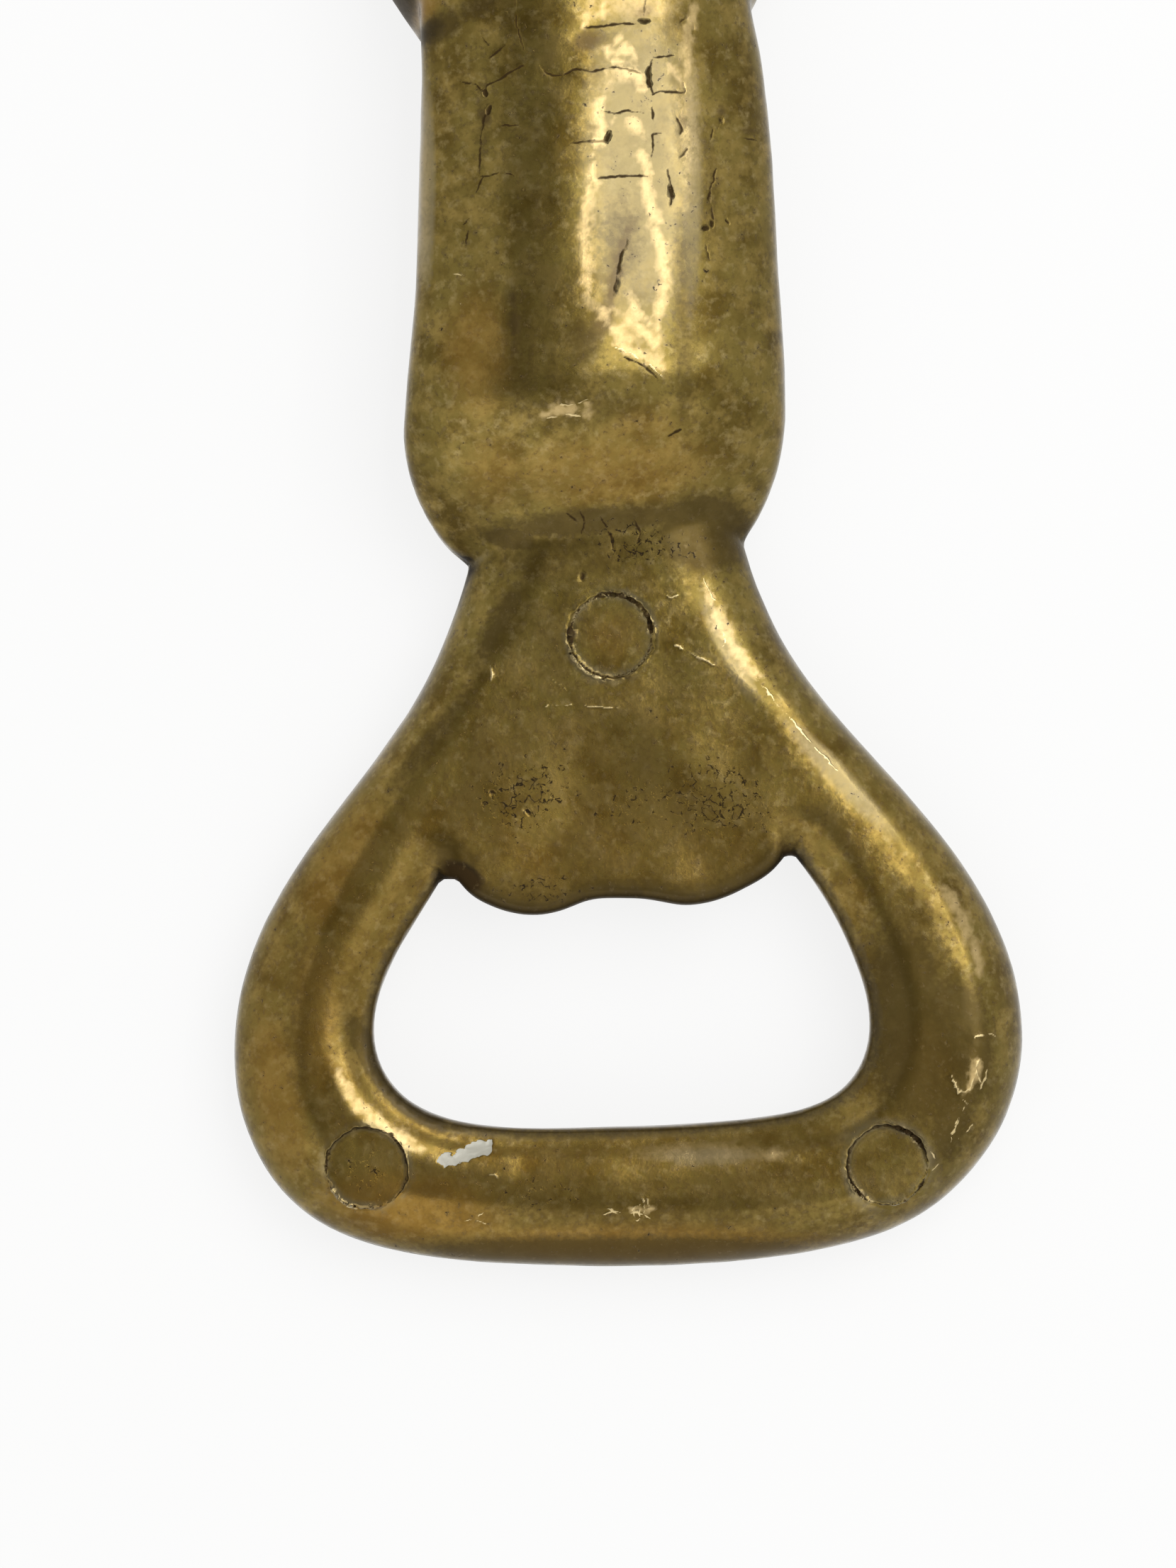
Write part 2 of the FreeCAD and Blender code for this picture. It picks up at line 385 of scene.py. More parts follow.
@dataclass
class Lip:
    """The web that fills the top of the opening, with the lumpy edge that lifts the cap."""

    loop: Loop
    thickness: float = 3.6
    recess: float = 0.15
    mouth: float = 12.6  # far bar to the lowest point of the edge
    width: float = 19.6
    offset: float = -0.4
    rounding: float = 0.7
    dish: float = 0.12  # how far the web's middle is sunk
    dish_reach: float = 5.0  # in from the web's border, over which it sinks
    dish_levels: Span = (5.0, 6.0)  # z between which the back's dish starts
    bar_turn: Span = (-1.0, 1.4)  # out from the opening, where lip turns into bar
    pocket_rounding: float = 0.8  # of the pocket in the front, as a share of the loop's own
    pocket_fillet: float = 0.5

    def __post_init__(self) -> None:
        """Maps the space below the edge."""
        edge = smooth_curve(self.edge_points(), False, 90)
        reach = self.loop.width
        right = [(reach, edge[-1][1]), (reach, 0.0)]
        left = [(-reach, 0.0), (-reach, edge[0][1])]
        self.below = Outline(np.vstack([edge, right, left]))

    def edge_points(self) -> list[Point]:
        """The edge from the left notch to the right one.

        Returns:
            What its curve passes through.
        """
        low = self.loop.far_bar + self.mouth
        wave = [(-1.0, 2.1), (-0.93, 1.35), (-0.78, 0.5), (-0.57, 0.0), (-0.36, 0.25), (-0.19, 0.85)]
        wave += [(0.0, 1.0), (0.18, 0.9), (0.36, 0.62), (0.56, 0.85), (0.75, 1.6), (0.9, 2.5), (0.99, 3.5)]
        return [(self.offset + self.width / 2 * x, low + y) for x, y in wave]

    def hole(self, x: Array, y: Array) -> Array:
        """Signed distance in the XY plane from the hole that the lip leaves open."""
        return np.maximum(self.loop.opening.distance(x, y), self.below.distance(x, y))

    def cut(self, body: Array, x: Array, y: Array, z: Array) -> Array:
        """Cuts the hole through the loop's form and the pocket in its front.

        Args:
            body: signed distances from the loop's form.
            x: places across.
            y: places along.
            z: places above the table.

        Returns:
            Signed distances from what is left.
        """
        loop = self.loop
        opening = loop.opening.distance(x, y)
        face = np.abs(z - loop.thickness / 2) - loop.thickness / 2
        face = face + self.dish * ease(-opening, 0.0, self.dish_reach) * ease(z, *self.dish_levels)
        bar = ease(opening, *self.bar_turn)
        reach = self.rounding + (loop.inner_shoulder - self.rounding) * bar
        depth = self.rounding + (loop.edge - self.rounding) * bar
        body = np.maximum(body, rounded(-self.hole(x, y) * depth / reach, face, depth))
        wall = rounded(-opening, face, loop.inner_shoulder * self.pocket_rounding)
        bottom = loop.thickness - self.recess - self.thickness
        return trim(body, -np.maximum(-wall, z - bottom), self.pocket_fillet)


# ---------------------------------------------------------------- tower
def oval_distance(
    across: Array,
    up: Array,
    half_width: Array,
    half_depth: Array,
    power: Array | float,
) -> Array:
    """Distance, true to first order, from a squarish oval.

    Args:
        across: offset from the oval's middle along its width.
        up: offset along its depth.
        half_width: half its width.
        half_depth: half its depth.
        power: 2 for an ellipse, more for a squarer shape.

    Returns:
        Signed distances, negative inside.
    """
    u = np.abs(across / half_width)
    v = np.abs(up / half_depth)
    size = np.maximum((u**power + v**power) ** (1 / power), 1e-3)
    slope = np.hypot(u ** (power - 1) / half_width, v ** (power - 1) / half_depth) * size ** (1 - power)
    return (size - 1) / np.maximum(slope, 0.5 / np.maximum(half_width, half_depth))


@dataclass
class Tower:
    """The oval stone tower that is the handle, from its foot to inside the parapet."""

    foot: float = 42.9  # y of its foot on its axis
    axis: float = -2.15
    front: float = 0.05
    width: float = 22.5  # at the swell of the foot
    depth: float = 11.8
    foot_width: float = 14.8
    foot_depth: float = 4.2
    foot_front: float = 1.3
    foot_shift: float = 0.55  # the foot lies this far to +x of the axis
    foot_height: float = 7.0
    shaft_width: float = 19.6
    shaft_depth: float = 11.2
    height: float = 31.0
    bow: float = 0.42  # how far its middle bulges to +x
    top_shift: float = 0.35  # its top leans this far to -x
    top_bend: Span = (27.0, 34.0)  # height over which it leans
    tilt: float = 3.5  # degrees by which its courses climb to +x
    lean: float = 16.0  # degrees by which its foot climbs to the back
    power: float = 2.5  # of the oval, where 2 is an ellipse
    back_power: float = 2.1  # the back is rounder than the front
    crest_shift: float = -2.2  # the back's crest lies this far from the axis
    back_swell: float = 1.25  # the back's swell climbs over this many times the foot's height

    def __post_init__(self) -> None:
        """Draws the profile: width, depth and front against height above the foot."""
        # Height over the foot, and how much of the way from the foot's size to the shaft's is gone.
        taper = [(3.0, 0.10), (8.0, 0.37), (14.0, 0.57), (20.0, 0.82), (25.0, 1.08), (31.0, 1.20)]
        rises = [(self.foot_height + rise, share) for rise, share in taper]
        shaft = smooth_curve([(self.foot_height, 0.0)] + rises, False, 120)
        foot = np.linspace(0, 1, 60)
        full = (1 - (1 - foot) ** 2) ** (2 / 3)  # across, the foot swells a little slower than a circle
        self.heights = np.concatenate([foot * self.foot_height, shaft[1:, 0]])
        widths = self.foot_width + full * (self.width - self.foot_width)
        slope = 1 - (1 - foot) ** 2  # the back climbs like a dome, not like a wall
        depths = self.foot_depth + slope * (self.depth - self.foot_depth)
        shares = shaft[1:, 1]
        self.widths = np.concatenate([widths, self.width + shares * (self.shaft_width - self.width)])
        self.depths = np.concatenate([depths, self.depth + shares * (self.shaft_depth - self.depth)])
        fronts = self.front + self.foot_front * (1 - full)
        self.fronts = np.concatenate([fronts, np.full(len(shares), self.front)])
        above = np.maximum(self.heights - self.foot_height, 0) / (self.heights[-1] - self.foot_height)
        swell = self.back_swell * self.foot_height
        self.back_heights = np.where(
            self.heights < self.foot_height,
            self.heights * self.back_swell,
            swell + above * (self.heights[-1] - swell),
        )

    def middle(self, height: Array) -> Array:
        """x of the tower's middle.

        Args:
            height: heights above its foot.

        Returns:
            One x for each height.
        """
        bow = self.bow * np.sin(np.pi * np.clip(height / self.height, 0, 1))
        foot = self.foot_shift * (1 - np.clip(height / self.foot_height, 0, 1)) ** 2
        return self.axis + bow + foot - self.top_shift * ease(height, *self.top_bend)

    def level(self, x: Array, y: Array, z: Array, tilt: float, lean: float) -> Array:
        """Height above the foot of the leaning plane that holds each place.

        Args:
            x: places across.
            y: places along.
            z: places above the table.
            tilt: degrees by which the plane climbs to +x.
            lean: degrees by which the plane climbs to the back.

        Returns:
            One height for each place.
        """
        climb = (x - self.axis) * math.tan(math.radians(tilt))
        climb = climb + (z - self.front - self.depth / 2) * math.tan(math.radians(lean))
        return y - self.foot - climb

    def distance(self, x: Array, y: Array, z: Array) -> Array:
        """Signed distance from the tower.

        Args:
            x: places across.
            y: places along.
            z: places above the table.

        Returns:
            One distance for each place, negative inside.
        """
        height = self.level(x, y, z, self.tilt, self.lean)
        half_width = np.interp(height, self.heights, self.widths) / 2
        # Under its foot the tower thins out inside the neck.
        half_depth = (np.interp(height, self.back_heights, self.depths) + np.clip(height, -3.0, 0)) / 2
        front = np.interp(height, self.heights, self.fronts)
        up = z - front - half_depth
        hump = ease(up / half_depth, 0.0, 1.0)
        power = self.power + (self.back_power - self.power) * hump
        across = x - self.middle(height) - self.crest_shift * hump
        skin = oval_distance(across, up, half_width, half_depth, power)
        return np.maximum(skin, np.maximum(-height, height - self.heights[-1]))


@dataclass
class Parapet:
    """The corbelled top of the tower, with its battlements."""

    tower: Tower
    width: float = 24.4
    depth: float = 12.6
    tilt: float = 9.0  # degrees by which the corbel climbs to +x
    lean: float = 30.0  # degrees by which the corbel climbs to the back
    top_lean: float = 5.0  # degrees by which the battlements' top climbs to the back
    corbel_height: float = 4.2
    corbel_root: float = 0.35  # how far inside the shaft's skin the corbel starts
    height: float = 17.0
    crenel_width: float = 3.6
    crenel_depth: float = 4.0
    merlon_width: float = 5.8
    top_fillet: float = 0.8
    crenel_rounding: float = 0.7
    crenel_fillet: float = 0.6

    def levels(self, x: Array, y: Array, z: Array) -> tuple[Array, Array]:
        """How high each place lies on the parapet.

        Args:
            x: places across.
            y: places along.
            z: places above the table.

        Returns:
            Heights above the corbel's root, and heights above the battlements' top plane.
        """
        tower = self.tower
        root = tower.level(x, y, z, self.tilt, self.lean) - tower.height
        top = tower.level(x, y, z, tower.tilt, self.top_lean) - tower.height - self.height
        return root, top

    def distance(self, x: Array, y: Array, z: Array) -> Array:
        """Signed distance from the parapet.

        Args:
            x: places across.
            y: places along.
            z: places above the table.

        Returns:
            One distance for each place, negative inside.
        """
        tower = self.tower
        root, top = self.levels(x, y, z)
        full = np.clip(root / self.corbel_height, 0, 1)
        half_width = (tower.shaft_width / 2 - self.corbel_root) * (1 - full) + self.width / 2 * full
        half_depth = (tower.shaft_depth / 2 - self.corbel_root) * (1 - full) + self.depth / 2 * full
        middle = tower.front + self.depth / 2 - (self.depth - tower.shaft_depth) / 2 * (1 - full)
        skin = oval_distance(x - tower.axis, z - middle, half_width, half_depth, tower.power)
        block = trim(skin, np.maximum(-root, top), self.top_fillet)
        across = x - tower.axis
        offset = (self.merlon_width + self.crenel_width) / 2
        side = np.minimum(np.abs(across - offset), np.abs(across + offset)) - self.crenel_width / 2
        side = np.minimum(side, np.abs(z - tower.front - self.depth / 2) - self.crenel_width / 2)
        gap = rounded(side, -top - self.crenel_depth, self.crenel_rounding)
        return trim(block, -gap, self.crenel_fillet)


@dataclass
class Masonry:
    """Worn stone courses round the tower, sunk a little into its skin."""

    tower: Tower
    course: float = 2.32  # from one bed joint to the next
    stones: int = 13  # in one course, all the way round
    tilt: float = 0.6  # of the courses, as a share of the tower's
    depth: float = 0.22
    half_joint: float = 0.24
    first_joint: Span = (6.0, 8.5)  # height over which the courses start
    front_end: Span = (2.6, 4.6)  # z over which the front's courses fade
    back_depth: float = 0.03  # the back is worn nearly smooth
    back_half_joint: float = 0.60
    back_start: Span = (6.5, 9.0)  # z over which the back's joints start
    back_wear: Span = (64.0, 71.0)  # y over which they get deeper
    back_end: float = 76.0  # y from which the back's courses are as deep as the front's
    back_turn: float = 2.0  # y over which they get as deep

    def __post_init__(self) -> None:
        """Maps the distances from the joints that still show on the back."""
        low = np.array([self.tower.axis - self.tower.width / 2, self.tower.foot])
        high = low + np.array([self.tower.width, self.back_end - self.tower.foot])
        self.joints = DistanceMap(low, high, joint_lines().distance)

    def groove(self, x: Array, y: Array, z: Array) -> Array:
        """How far the joints sink the skin.

        Args:
            x: places across.
            y: places along.
            z: places above the table.

        Returns:
            One depth for each place.
        """
        tower = self.tower
        height = tower.level(x, y, z, tower.tilt * self.tilt, 0.0)
        up = z - tower.front - tower.depth / 2
        turn = np.arctan2(up / tower.depth, (x - tower.axis) / tower.width) / (2 * np.pi)
        # No two stones are alike: beds wave, heads shift from course to course and joints wear unevenly.
        wander = 0.16 * np.sin(turn * 31 + height * 0.7) + 0.10 * np.sin(height * 2.3 + turn * 57)
        row = np.floor((height + wander) / self.course)
        bed = (height + wander) / self.course - row
        bed = np.minimum(bed, 1 - bed) * self.course
        shift = 0.5 * np.mod(row, 2) + 0.13 * np.sin(row * 5.1)
        stone = np.mod(turn * self.stones + shift + 0.05 * np.sin(height * 1.9), 1)
        girth = np.pi * (tower.width + tower.depth) / 2 / self.stones
        head = np.minimum(stone, 1 - stone) * girth
        near = np.minimum(bed, head * 1.1)
        worn = 0.6 + 0.4 * np.sin(turn * 47 + row * 2.7) * np.sin(height * 0.9 + turn * 19)
        crisp = np.exp(-((near / self.half_joint) ** 2))
        front = self.depth * (1 - ease(z, *self.front_end)) * crisp
        joints = np.exp(-((self.joints.read(x, y) / self.back_half_joint) ** 2))
        back = self.back_depth * ease(z, *self.back_start) * (0.3 + 0.7 * ease(y, *self.back_wear)) * joints
        beyond = self.depth * ease(y, self.back_end, self.back_end + self.back_turn) * crisp
        return np.maximum(worn * ease(height, *self.first_joint) * np.maximum(front, beyond), back)


@dataclass
class FrontCarving:
    """The arched doorway and the arrow slit that are sunk into the tower's front."""

    tower: Tower
    depth: float = 0.6
    door_width: float = 6.0
    door_height: float = 9.0
    door_sill: float = 9.0
    slit_width: float = 1.3
    slit_height: float = 4.6
    slit_level: float = 23.0
    rounding: float = 0.15
    fillet: float = 0.25

    def distance(self, x: Array, y: Array) -> Array:
        """Signed distance in the XY plane from the carved places.

        Args:
            x: places across.
            y: places along.

        Returns:
            One distance for each place, negative inside.
        """
        across = x - self.tower.axis
        height = y - self.tower.foot
        radius = self.door_width / 2
        spring = self.door_sill + self.door_height - radius
        jamb = np.abs(height - (self.door_sill + spring) / 2) - (spring - self.door_sill) / 2
        door = np.maximum(np.abs(across) - radius, jamb)
        door = np.minimum(door, np.hypot(across, height - spring) - radius)
        slit = np.abs(height - self.slit_level) - self.slit_height / 2
        slit = np.maximum(np.abs(across) - self.slit_width / 2, slit)
        return np.minimum(door, slit)

    def sink(self, skin: Array, x: Array, y: Array, z: Array) -> Array:
        """Takes the carving out of the tower's front.

        Args:
            skin: signed distances from the tower.
            x: places across.
            y: places along.
            z: places above the table.

        Returns:
            Signed distances from what is left.
        """
        place = np.maximum(self.distance(x, y), z - self.tower.depth / 2)
        cutter = rounded(place, -(skin + self.depth), self.rounding)
        return trim(skin, -cutter, self.fillet)


# ---------------------------------------------------------------- marks of the die
@dataclass
class Arc:
    """A stretch of a pin mark's rim, where a crevice is sunk or a thin flash stands up."""

    start: float  # degrees, counter-clockwise from +x
    end: float
    radius: float  # of the crevice's or the flash's own section
    fade: Span = (-8.0, 4.0)  # degrees past each end between which it fades

    def strength(self, angle: Array) -> Array:
        """How fully the stretch is there.

        Args:
            angle: degrees round the mark, counter-clockwise from +x.

        Returns:
            1 along the stretch, fading to 0 at its two ends.
        """
        middle = (self.start + self.end) / 2
        off = np.abs(np.mod(angle - middle + 180, 360) - 180)
        half = (self.end - self.start) / 2
        return 1 - ease(off, half + self.fade[0], half + self.fade[1])


@dataclass
class PinMark:
    """The round mark that one ejector pin of the die left in the back."""

    x: float
    y: float
    level: float  # z of the flat that the pin's end left
    radius: float = 2.5
    crevices: tuple[Arc, ...] = ()
    flashes: tuple[Arc, ...] = ()
    boss_rounding: float = 0.10
    boss_root: float = 3.0  # z from which the boss under the mark stands up
    press_fillet: float = 0.14
    flash_fillet: float = 0.08

    def rim(self, x: Array, y: Array) -> Array:
        """Distance in the XY plane outwards from the rim."""
        return np.hypot(x - self.x, y - self.y) - self.radius

    def dirt(self, x: Array, y: Array) -> Array:
        """How dark the rim's crevices are painted, for the dirt in them and as painted shade.

        Args:
            x: places across.
            y: places along.

        Returns:
            0 for none to 1 for the darkest, at each place.
        """
        rim = self.rim(x, y)
        angle = np.degrees(np.arctan2(y - self.y, x - self.x))
        most = np.zeros(rim.shape)
        for arc in self.crevices:
            width = 1.5 * arc.radius * arc.strength(angle) * (0.8 + 0.2 * np.sin(angle * 0.43 + 1.0))
            most = np.maximum(most, 1 - ease(np.abs(rim + 0.5 * arc.radius), 0.5 * width, width + 0.02))
        return most

    def press(self, body: Array, x: Array, y: Array, z: Array) -> Array:
        """Presses the mark into the casting.

        Args:
            body: signed distances from the casting.
            x: places across.
            y: places along.
            z: places above the table.

        Returns:
            Signed distances from the marked casting.
        """
        rim = self.rim(x, y)
        angle = np.degrees(np.arctan2(y - self.y, x - self.x))
        # The rim strays a little, and no stretch of flash or crevice is even.
        ragged = 0.05 * np.sin(angle * 0.11) + 0.03 * np.sin(angle * 0.37 + self.x)
        boss = np.maximum(rounded(rim + ragged, z - self.level, self.boss_rounding), self.boss_root - z)
        body = np.minimum(body, boss)
        body = trim(body, -np.maximum(rim + ragged, self.level - z), self.press_fillet)
        for arc in self.flashes:
            size = arc.radius * arc.strength(angle) * (0.8 + 0.2 * np.sin(angle * 0.5))
            ring = np.hypot(rim - 0.02, np.minimum(np.abs(body + 0.02), 9.0)) - size
            body = merge(body, ring, self.flash_fillet)
        for arc in self.crevices:
            size = arc.radius * arc.strength(angle) * (0.75 + 0.25 * np.sin(angle * 0.43 + 1.0))
            ring = np.hypot(rim + 0.5 * arc.radius, body * 0.8) - size
            body = np.maximum(body, -ring)
        return body


def pin_marks(loop: Loop) -> list[PinMark]:
    """The marks of the die's three pins: on the neck and at the loop's lower corners.

    Args:
        loop: what the marks lie on.

    Returns:
        The three marks.
    """
    back = loop.thickness
    neck = PinMark(
        x=-1.05,
        y=loop.length - 3.5,
        level=back - 0.14,
        crevices=(Arc(14, 112, 0.12), Arc(4, 18, 0.22), Arc(166, 190, 0.20)),
        flashes=(Arc(196, 264, 0.14), Arc(285, 330, 0.05)),
    )
    left = PinMark(
        x=-15.55,
        y=5.9,
        level=back - 0.32,
        radius=2.42,
        crevices=(Arc(25, 60, 0.06), Arc(155, 185, 0.08)),
        flashes=(Arc(205, 258, 0.10), Arc(20, 75, 0.07)),
    )
    right = PinMark(
        x=15.35,
        y=6.08,
        level=back - 0.30,
        radius=2.38,
        crevices=(Arc(25, 85, 0.11), Arc(202, 240, 0.09), Arc(318, 342, 0.06)),
        flashes=(Arc(196, 250, 0.12),),
    )
    return [neck, left, right]


# ---------------------------------------------------------------- what years of use left on the back, and painted light and shade
@dataclass
class Patch:
    """A soft oval patch in which one of the masks is strong."""

    mask: Mask
    x: float
    y: float
    half_x: float
    half_y: float
    turn: float  # degrees
    strength: float
    core: float = 0.25  # share of the patch in which it is at its fullest

    def value(self, x: Array, y: Array) -> Array:
        """The mask's strength.

        Args:
            x: places across.
            y: places along.

        Returns:
            One strength for each place, 0 off the patch.
        """
        turn = math.radians(self.turn)
        along = (x - self.x) * math.cos(turn) + (y - self.y) * math.sin(turn)
        aside = (y - self.y) * math.cos(turn) - (x - self.x) * math.sin(turn)
        return self.strength * (1 - ease(np.hypot(along / self.half_x, aside / self.half_y), self.core, 1.0))


def patches() -> list[Patch]:
    """The broad stains and crazed places of the back, with painted highlights and painted shade among them.

    Returns:
        One patch for each row: its middle, its half widths, its turn in degrees and its strength.
    """
    rows = {
        # Old dirt, and mostly painted shade: under the parapet, in the creases at the foot, at the notches,
        # along the lip and the far bar's low edge, and over highlights that are dimmed.
        Mask.SOIL: (
            (-8.8, 74.6, 2.6, 1.1, 25, 1.0), (-13.6, 74.6, 1.6, 5.0, -10, 1.3),
            (-11.3, 73.2, 2.6, 1.3, 32, 1.3), (-1.6, 72.3, 1.8, 0.9, 10, 0.6),
            (-8.6, 67.5, 0.8, 4.0, 0, 0.5), (4.8, 63.5, 0.9, 6.0, 0, 0.6),
            (-5.0, 62.0, 1.5, 9.0, 0, 0.45), (-0.4, 60.8, 1.8, 3.6, 0, 0.6),
            (3.3, 56.0, 1.1, 9.5, 0, 0.75), (-2.9, 54.6, 1.9, 2.4, 20, 1.0),
            (-6.2, 54.0, 1.6, 6.0, 0, 0.8), (-3.0, 50.8, 6.5, 1.7, 3, 0.55),
            (-1.6, 44.3, 9.8, 1.25, 5, 1.3), (4.6, 43.6, 4.2, 3.2, 0, 2.0),
            (-7.0, 43.2, 2.4, 0.9, -10, 1.6), (-3.2, 42.2, 7.5, 2.6, 4, 0.85),
            (-7.7, 38.2, 1.2, 5.2, -28, 1.1), (-11.7, 31.3, 1.1, 6.5, -38, 0.9),
            (0.0, 30.0, 9.0, 6.5, 0, 0.35), (-6.2, 28.4, 2.8, 2.2, 20, 0.6),
            (5.6, 28.0, 2.8, 2.6, -20, 0.6), (9.6, 24.8, 2.6, 1.5, -50, 0.9),
            (-10.2, 24.0, 3.0, 2.2, -38, 1.2), (-6.0, 22.0, 5.0, 2.2, -8, 0.9),
            (5.0, 22.0, 6.0, 1.6, 12, 0.6), (-17.2, 15.5, 1.4, 6.0, 0, 0.35),
            (-19.4, 15.0, 1.6, 8.5, 0, 0.5), (16.6, 14.5, 4.2, 11.0, 6, 1.3),
            (19.2, 14.4, 2.2, 4.6, 6, 1.6), (20.2, 13.5, 2.2, 5.6, 6, 1.4),
            (-15.5, 12.8, 0.9, 3.6, 24, 2.0), (19.2, 9.5, 2.2, 6.0, -12, 1.2),
            (-12.7, 9.5, 3.4, 0.9, -32, 2.2), (-5.0, 4.2, 4.0, 1.4, 0, 0.45),
            (2.0, 3.2, 19.0, 2.2, 0, 0.65), (0.0, 0.2, 24.0, 2.4, 0, 1.9),
        ),
        Mask.RUST: (
            (-12.6, 75.0, 2.0, 2.4, 0, 1.0), (-8.8, 54.0, 3.2, 5.5, 0, 0.6),
            (1.0, 49.0, 4.6, 3.0, 0, 0.35), (-1.0, 47.2, 9.5, 3.0, 4, 0.5),
            (-8.0, 47.0, 3.0, 3.0, 0, 0.4), (-1.0, 37.5, 2.3, 2.3, 0, 0.4),
            (-17.0, 24.0, 2.6, 8.0, -30, 0.6), (-3.0, 16.0, 34.0, 26.0, 0, 0.4),
            (-18.6, 15.0, 2.6, 8.0, 0, 0.7), (17.5, 12.0, 3.2, 6.0, 10, 0.5),
            (-20.8, 10.5, 2.6, 8.0, 10, 0.7), (-12.5, 3.6, 9.0, 3.6, -8, 0.9),
            (0.0, 1.4, 17.0, 2.0, 0, 1.0),
        ),
        # Painted shade under the parapet and in the left notch.
        Mask.GRIME: (
            (-13.6, 74.6, 1.5, 5.0, -10, 0.5), (-11.7, 73.1, 1.6, 1.0, 35, 0.42),
            (-9.7, 23.4, 1.7, 0.9, -32, 0.9),
        ),
        # Painted sheen: paler patches where the lamp's highlights lie on the tower, the legs and the far
        # bar.
        Mask.WEAR: (
            (0.6, 65.0, 5.6, 17.0, 0, 1.0), (-12.0, 64.0, 0.9, 9.5, 0, 1.2),
            (3.6, 64.0, 1.3, 13.0, 0, 0.9), (6.0, 36.6, 1.2, 6.0, 26, 0.9),
            (12.6, 29.0, 1.2, 8.0, 43, 0.9), (4.6, 6.7, 5.0, 0.9, 0, 0.85),
        ),
        # Painted highlights: on the tower's top, its pale flanks and its left rim, and a bright band and
        # spot on the far bar.
        Mask.GLINT: (
            (0.6, 74.6, 3.6, 1.3, 0, 0.5), (3.6, 68.0, 1.0, 7.0, 0, 0.32),
            (-12.3, 63.5, 0.8, 9.0, 0, 0.4), (4.4, 6.8, 5.6, 0.9, 0, 0.75),
            (8.6, 6.8, 1.0, 0.5, 0, 1.2),
        ),
        # Darker stones and dents; the dent low on the tower is painted dark as a dark reflection.
        Mask.DENT: (
            (0.9, 74.2, 0.9, 0.5, 20, 1.0), (-2.5, 72.4, 1.3, 0.9, 20, 0.9),
            (5.5, 68.4, 0.4, 0.5, 0, 0.7), (-8.45, 67.95, 0.45, 0.7, 15, 1.0),
            (3.2, 67.7, 0.4, 0.7, 20, 0.6), (7.2, 67.3, 0.9, 0.35, 0, 0.6),
            (-1.5, 56.0, 1.0, 1.7, -15, 0.8),
        ),
        # Painted shade in the two notches.
        Mask.JOINT: (
            (9.4, 24.7, 1.2, 0.45, -55, 0.6), (-9.8, 23.2, 2.1, 0.95, -32, 1.1),
        ),
        Mask.CRAZE: (
            (0.3, 42.9, 4.5, 2.0, 0, 0.7), (-6.0, 28.0, 4.6, 3.4, 20, 0.8),
            (5.2, 27.8, 4.6, 3.6, -20, 0.85), (0.5, 27.5, 4.0, 2.5, 0, 0.55),
            (-5.0, 22.4, 4.0, 1.5, 0, 0.6), (-15.6, 5.9, 2.2, 2.2, 0, 0.5),
            (-5.0, 4.3, 4.0, 1.5, 0, 0.5),
        ),
    }
    return [Patch(mask, *row) for mask, places in rows.items() for row in places]


@dataclass
class LineWork:
    """A family of lines on the back of the casting, which share one depth and one stain."""

    mask: Mask
    strokes: tuple[tuple[Point, ...], ...]
    half_width: float
    depth: float
    wander: float = 0.06  # how far a line strays from its stroke
    gaps: float = 0.3  # share of the line that is worn away
    point: float = 0.6  # length over which a line comes to a point at each end
    finest: int = 3  # how many times the mesh is refined for these lines
    seed: int = 1
    spacing: float = 0.15  # of the points along a stroke

    def segments(self) -> tuple[Array, Array]:
        """The straight pieces of all the strokes.

        Returns:
            Their starts and their ends.
        """
        pairs = [pair for stroke in self.strokes for pair in zip(stroke, stroke[1:])]
        ends = np.array(pairs, float)
        return ends[:, 0], ends[:, 1]

    def distance(self, x: Array, y: Array) -> Array:
        """Distance in the XY plane from the nearest stroke."""
        return to_segments(x, y, *self.segments())

    def build(self, place: Placer) -> bpy.types.Object:
        """Makes the strokes as chains of loose edges, flat on z = 0 in the frame.

        Args:
            place: takes x and y on the opener to a place in the frame.

        Returns:
            An object that holds all the chains, with a share of the full width at each point.
        """
        points = []
        shares = []
        edges = []
        for stroke in self.strokes:
            knots = np.array(stroke)
            places = np.concatenate([[0.0], np.cumsum(np.hypot(*np.diff(knots, axis=0).T))])
            at = np.linspace(0, places[-1], 2 + math.ceil(places[-1] / self.spacing))
            edges += [(len(points) + i, len(points) + i + 1) for i in range(len(at) - 1)]
            points += [place(*(np.interp(one, places, way) for way in knots.T)) for one in at]
            rise = ease(np.minimum(at, places[-1] - at), 0.0, self.point)
            shares += list(0.55 + 0.45 * rise)  # a point keeps about half of the line's width
        mesh = bpy.data.meshes.new(f"{self.mask.value}_strokes")
        mesh.from_pydata([(p.x, p.y, 0.0) for p in points], edges, [])
        mesh.attributes.new("share", "FLOAT", "POINT").data.foreach_set("value", shares)
        return bpy.data.objects.new(mesh.name, mesh)


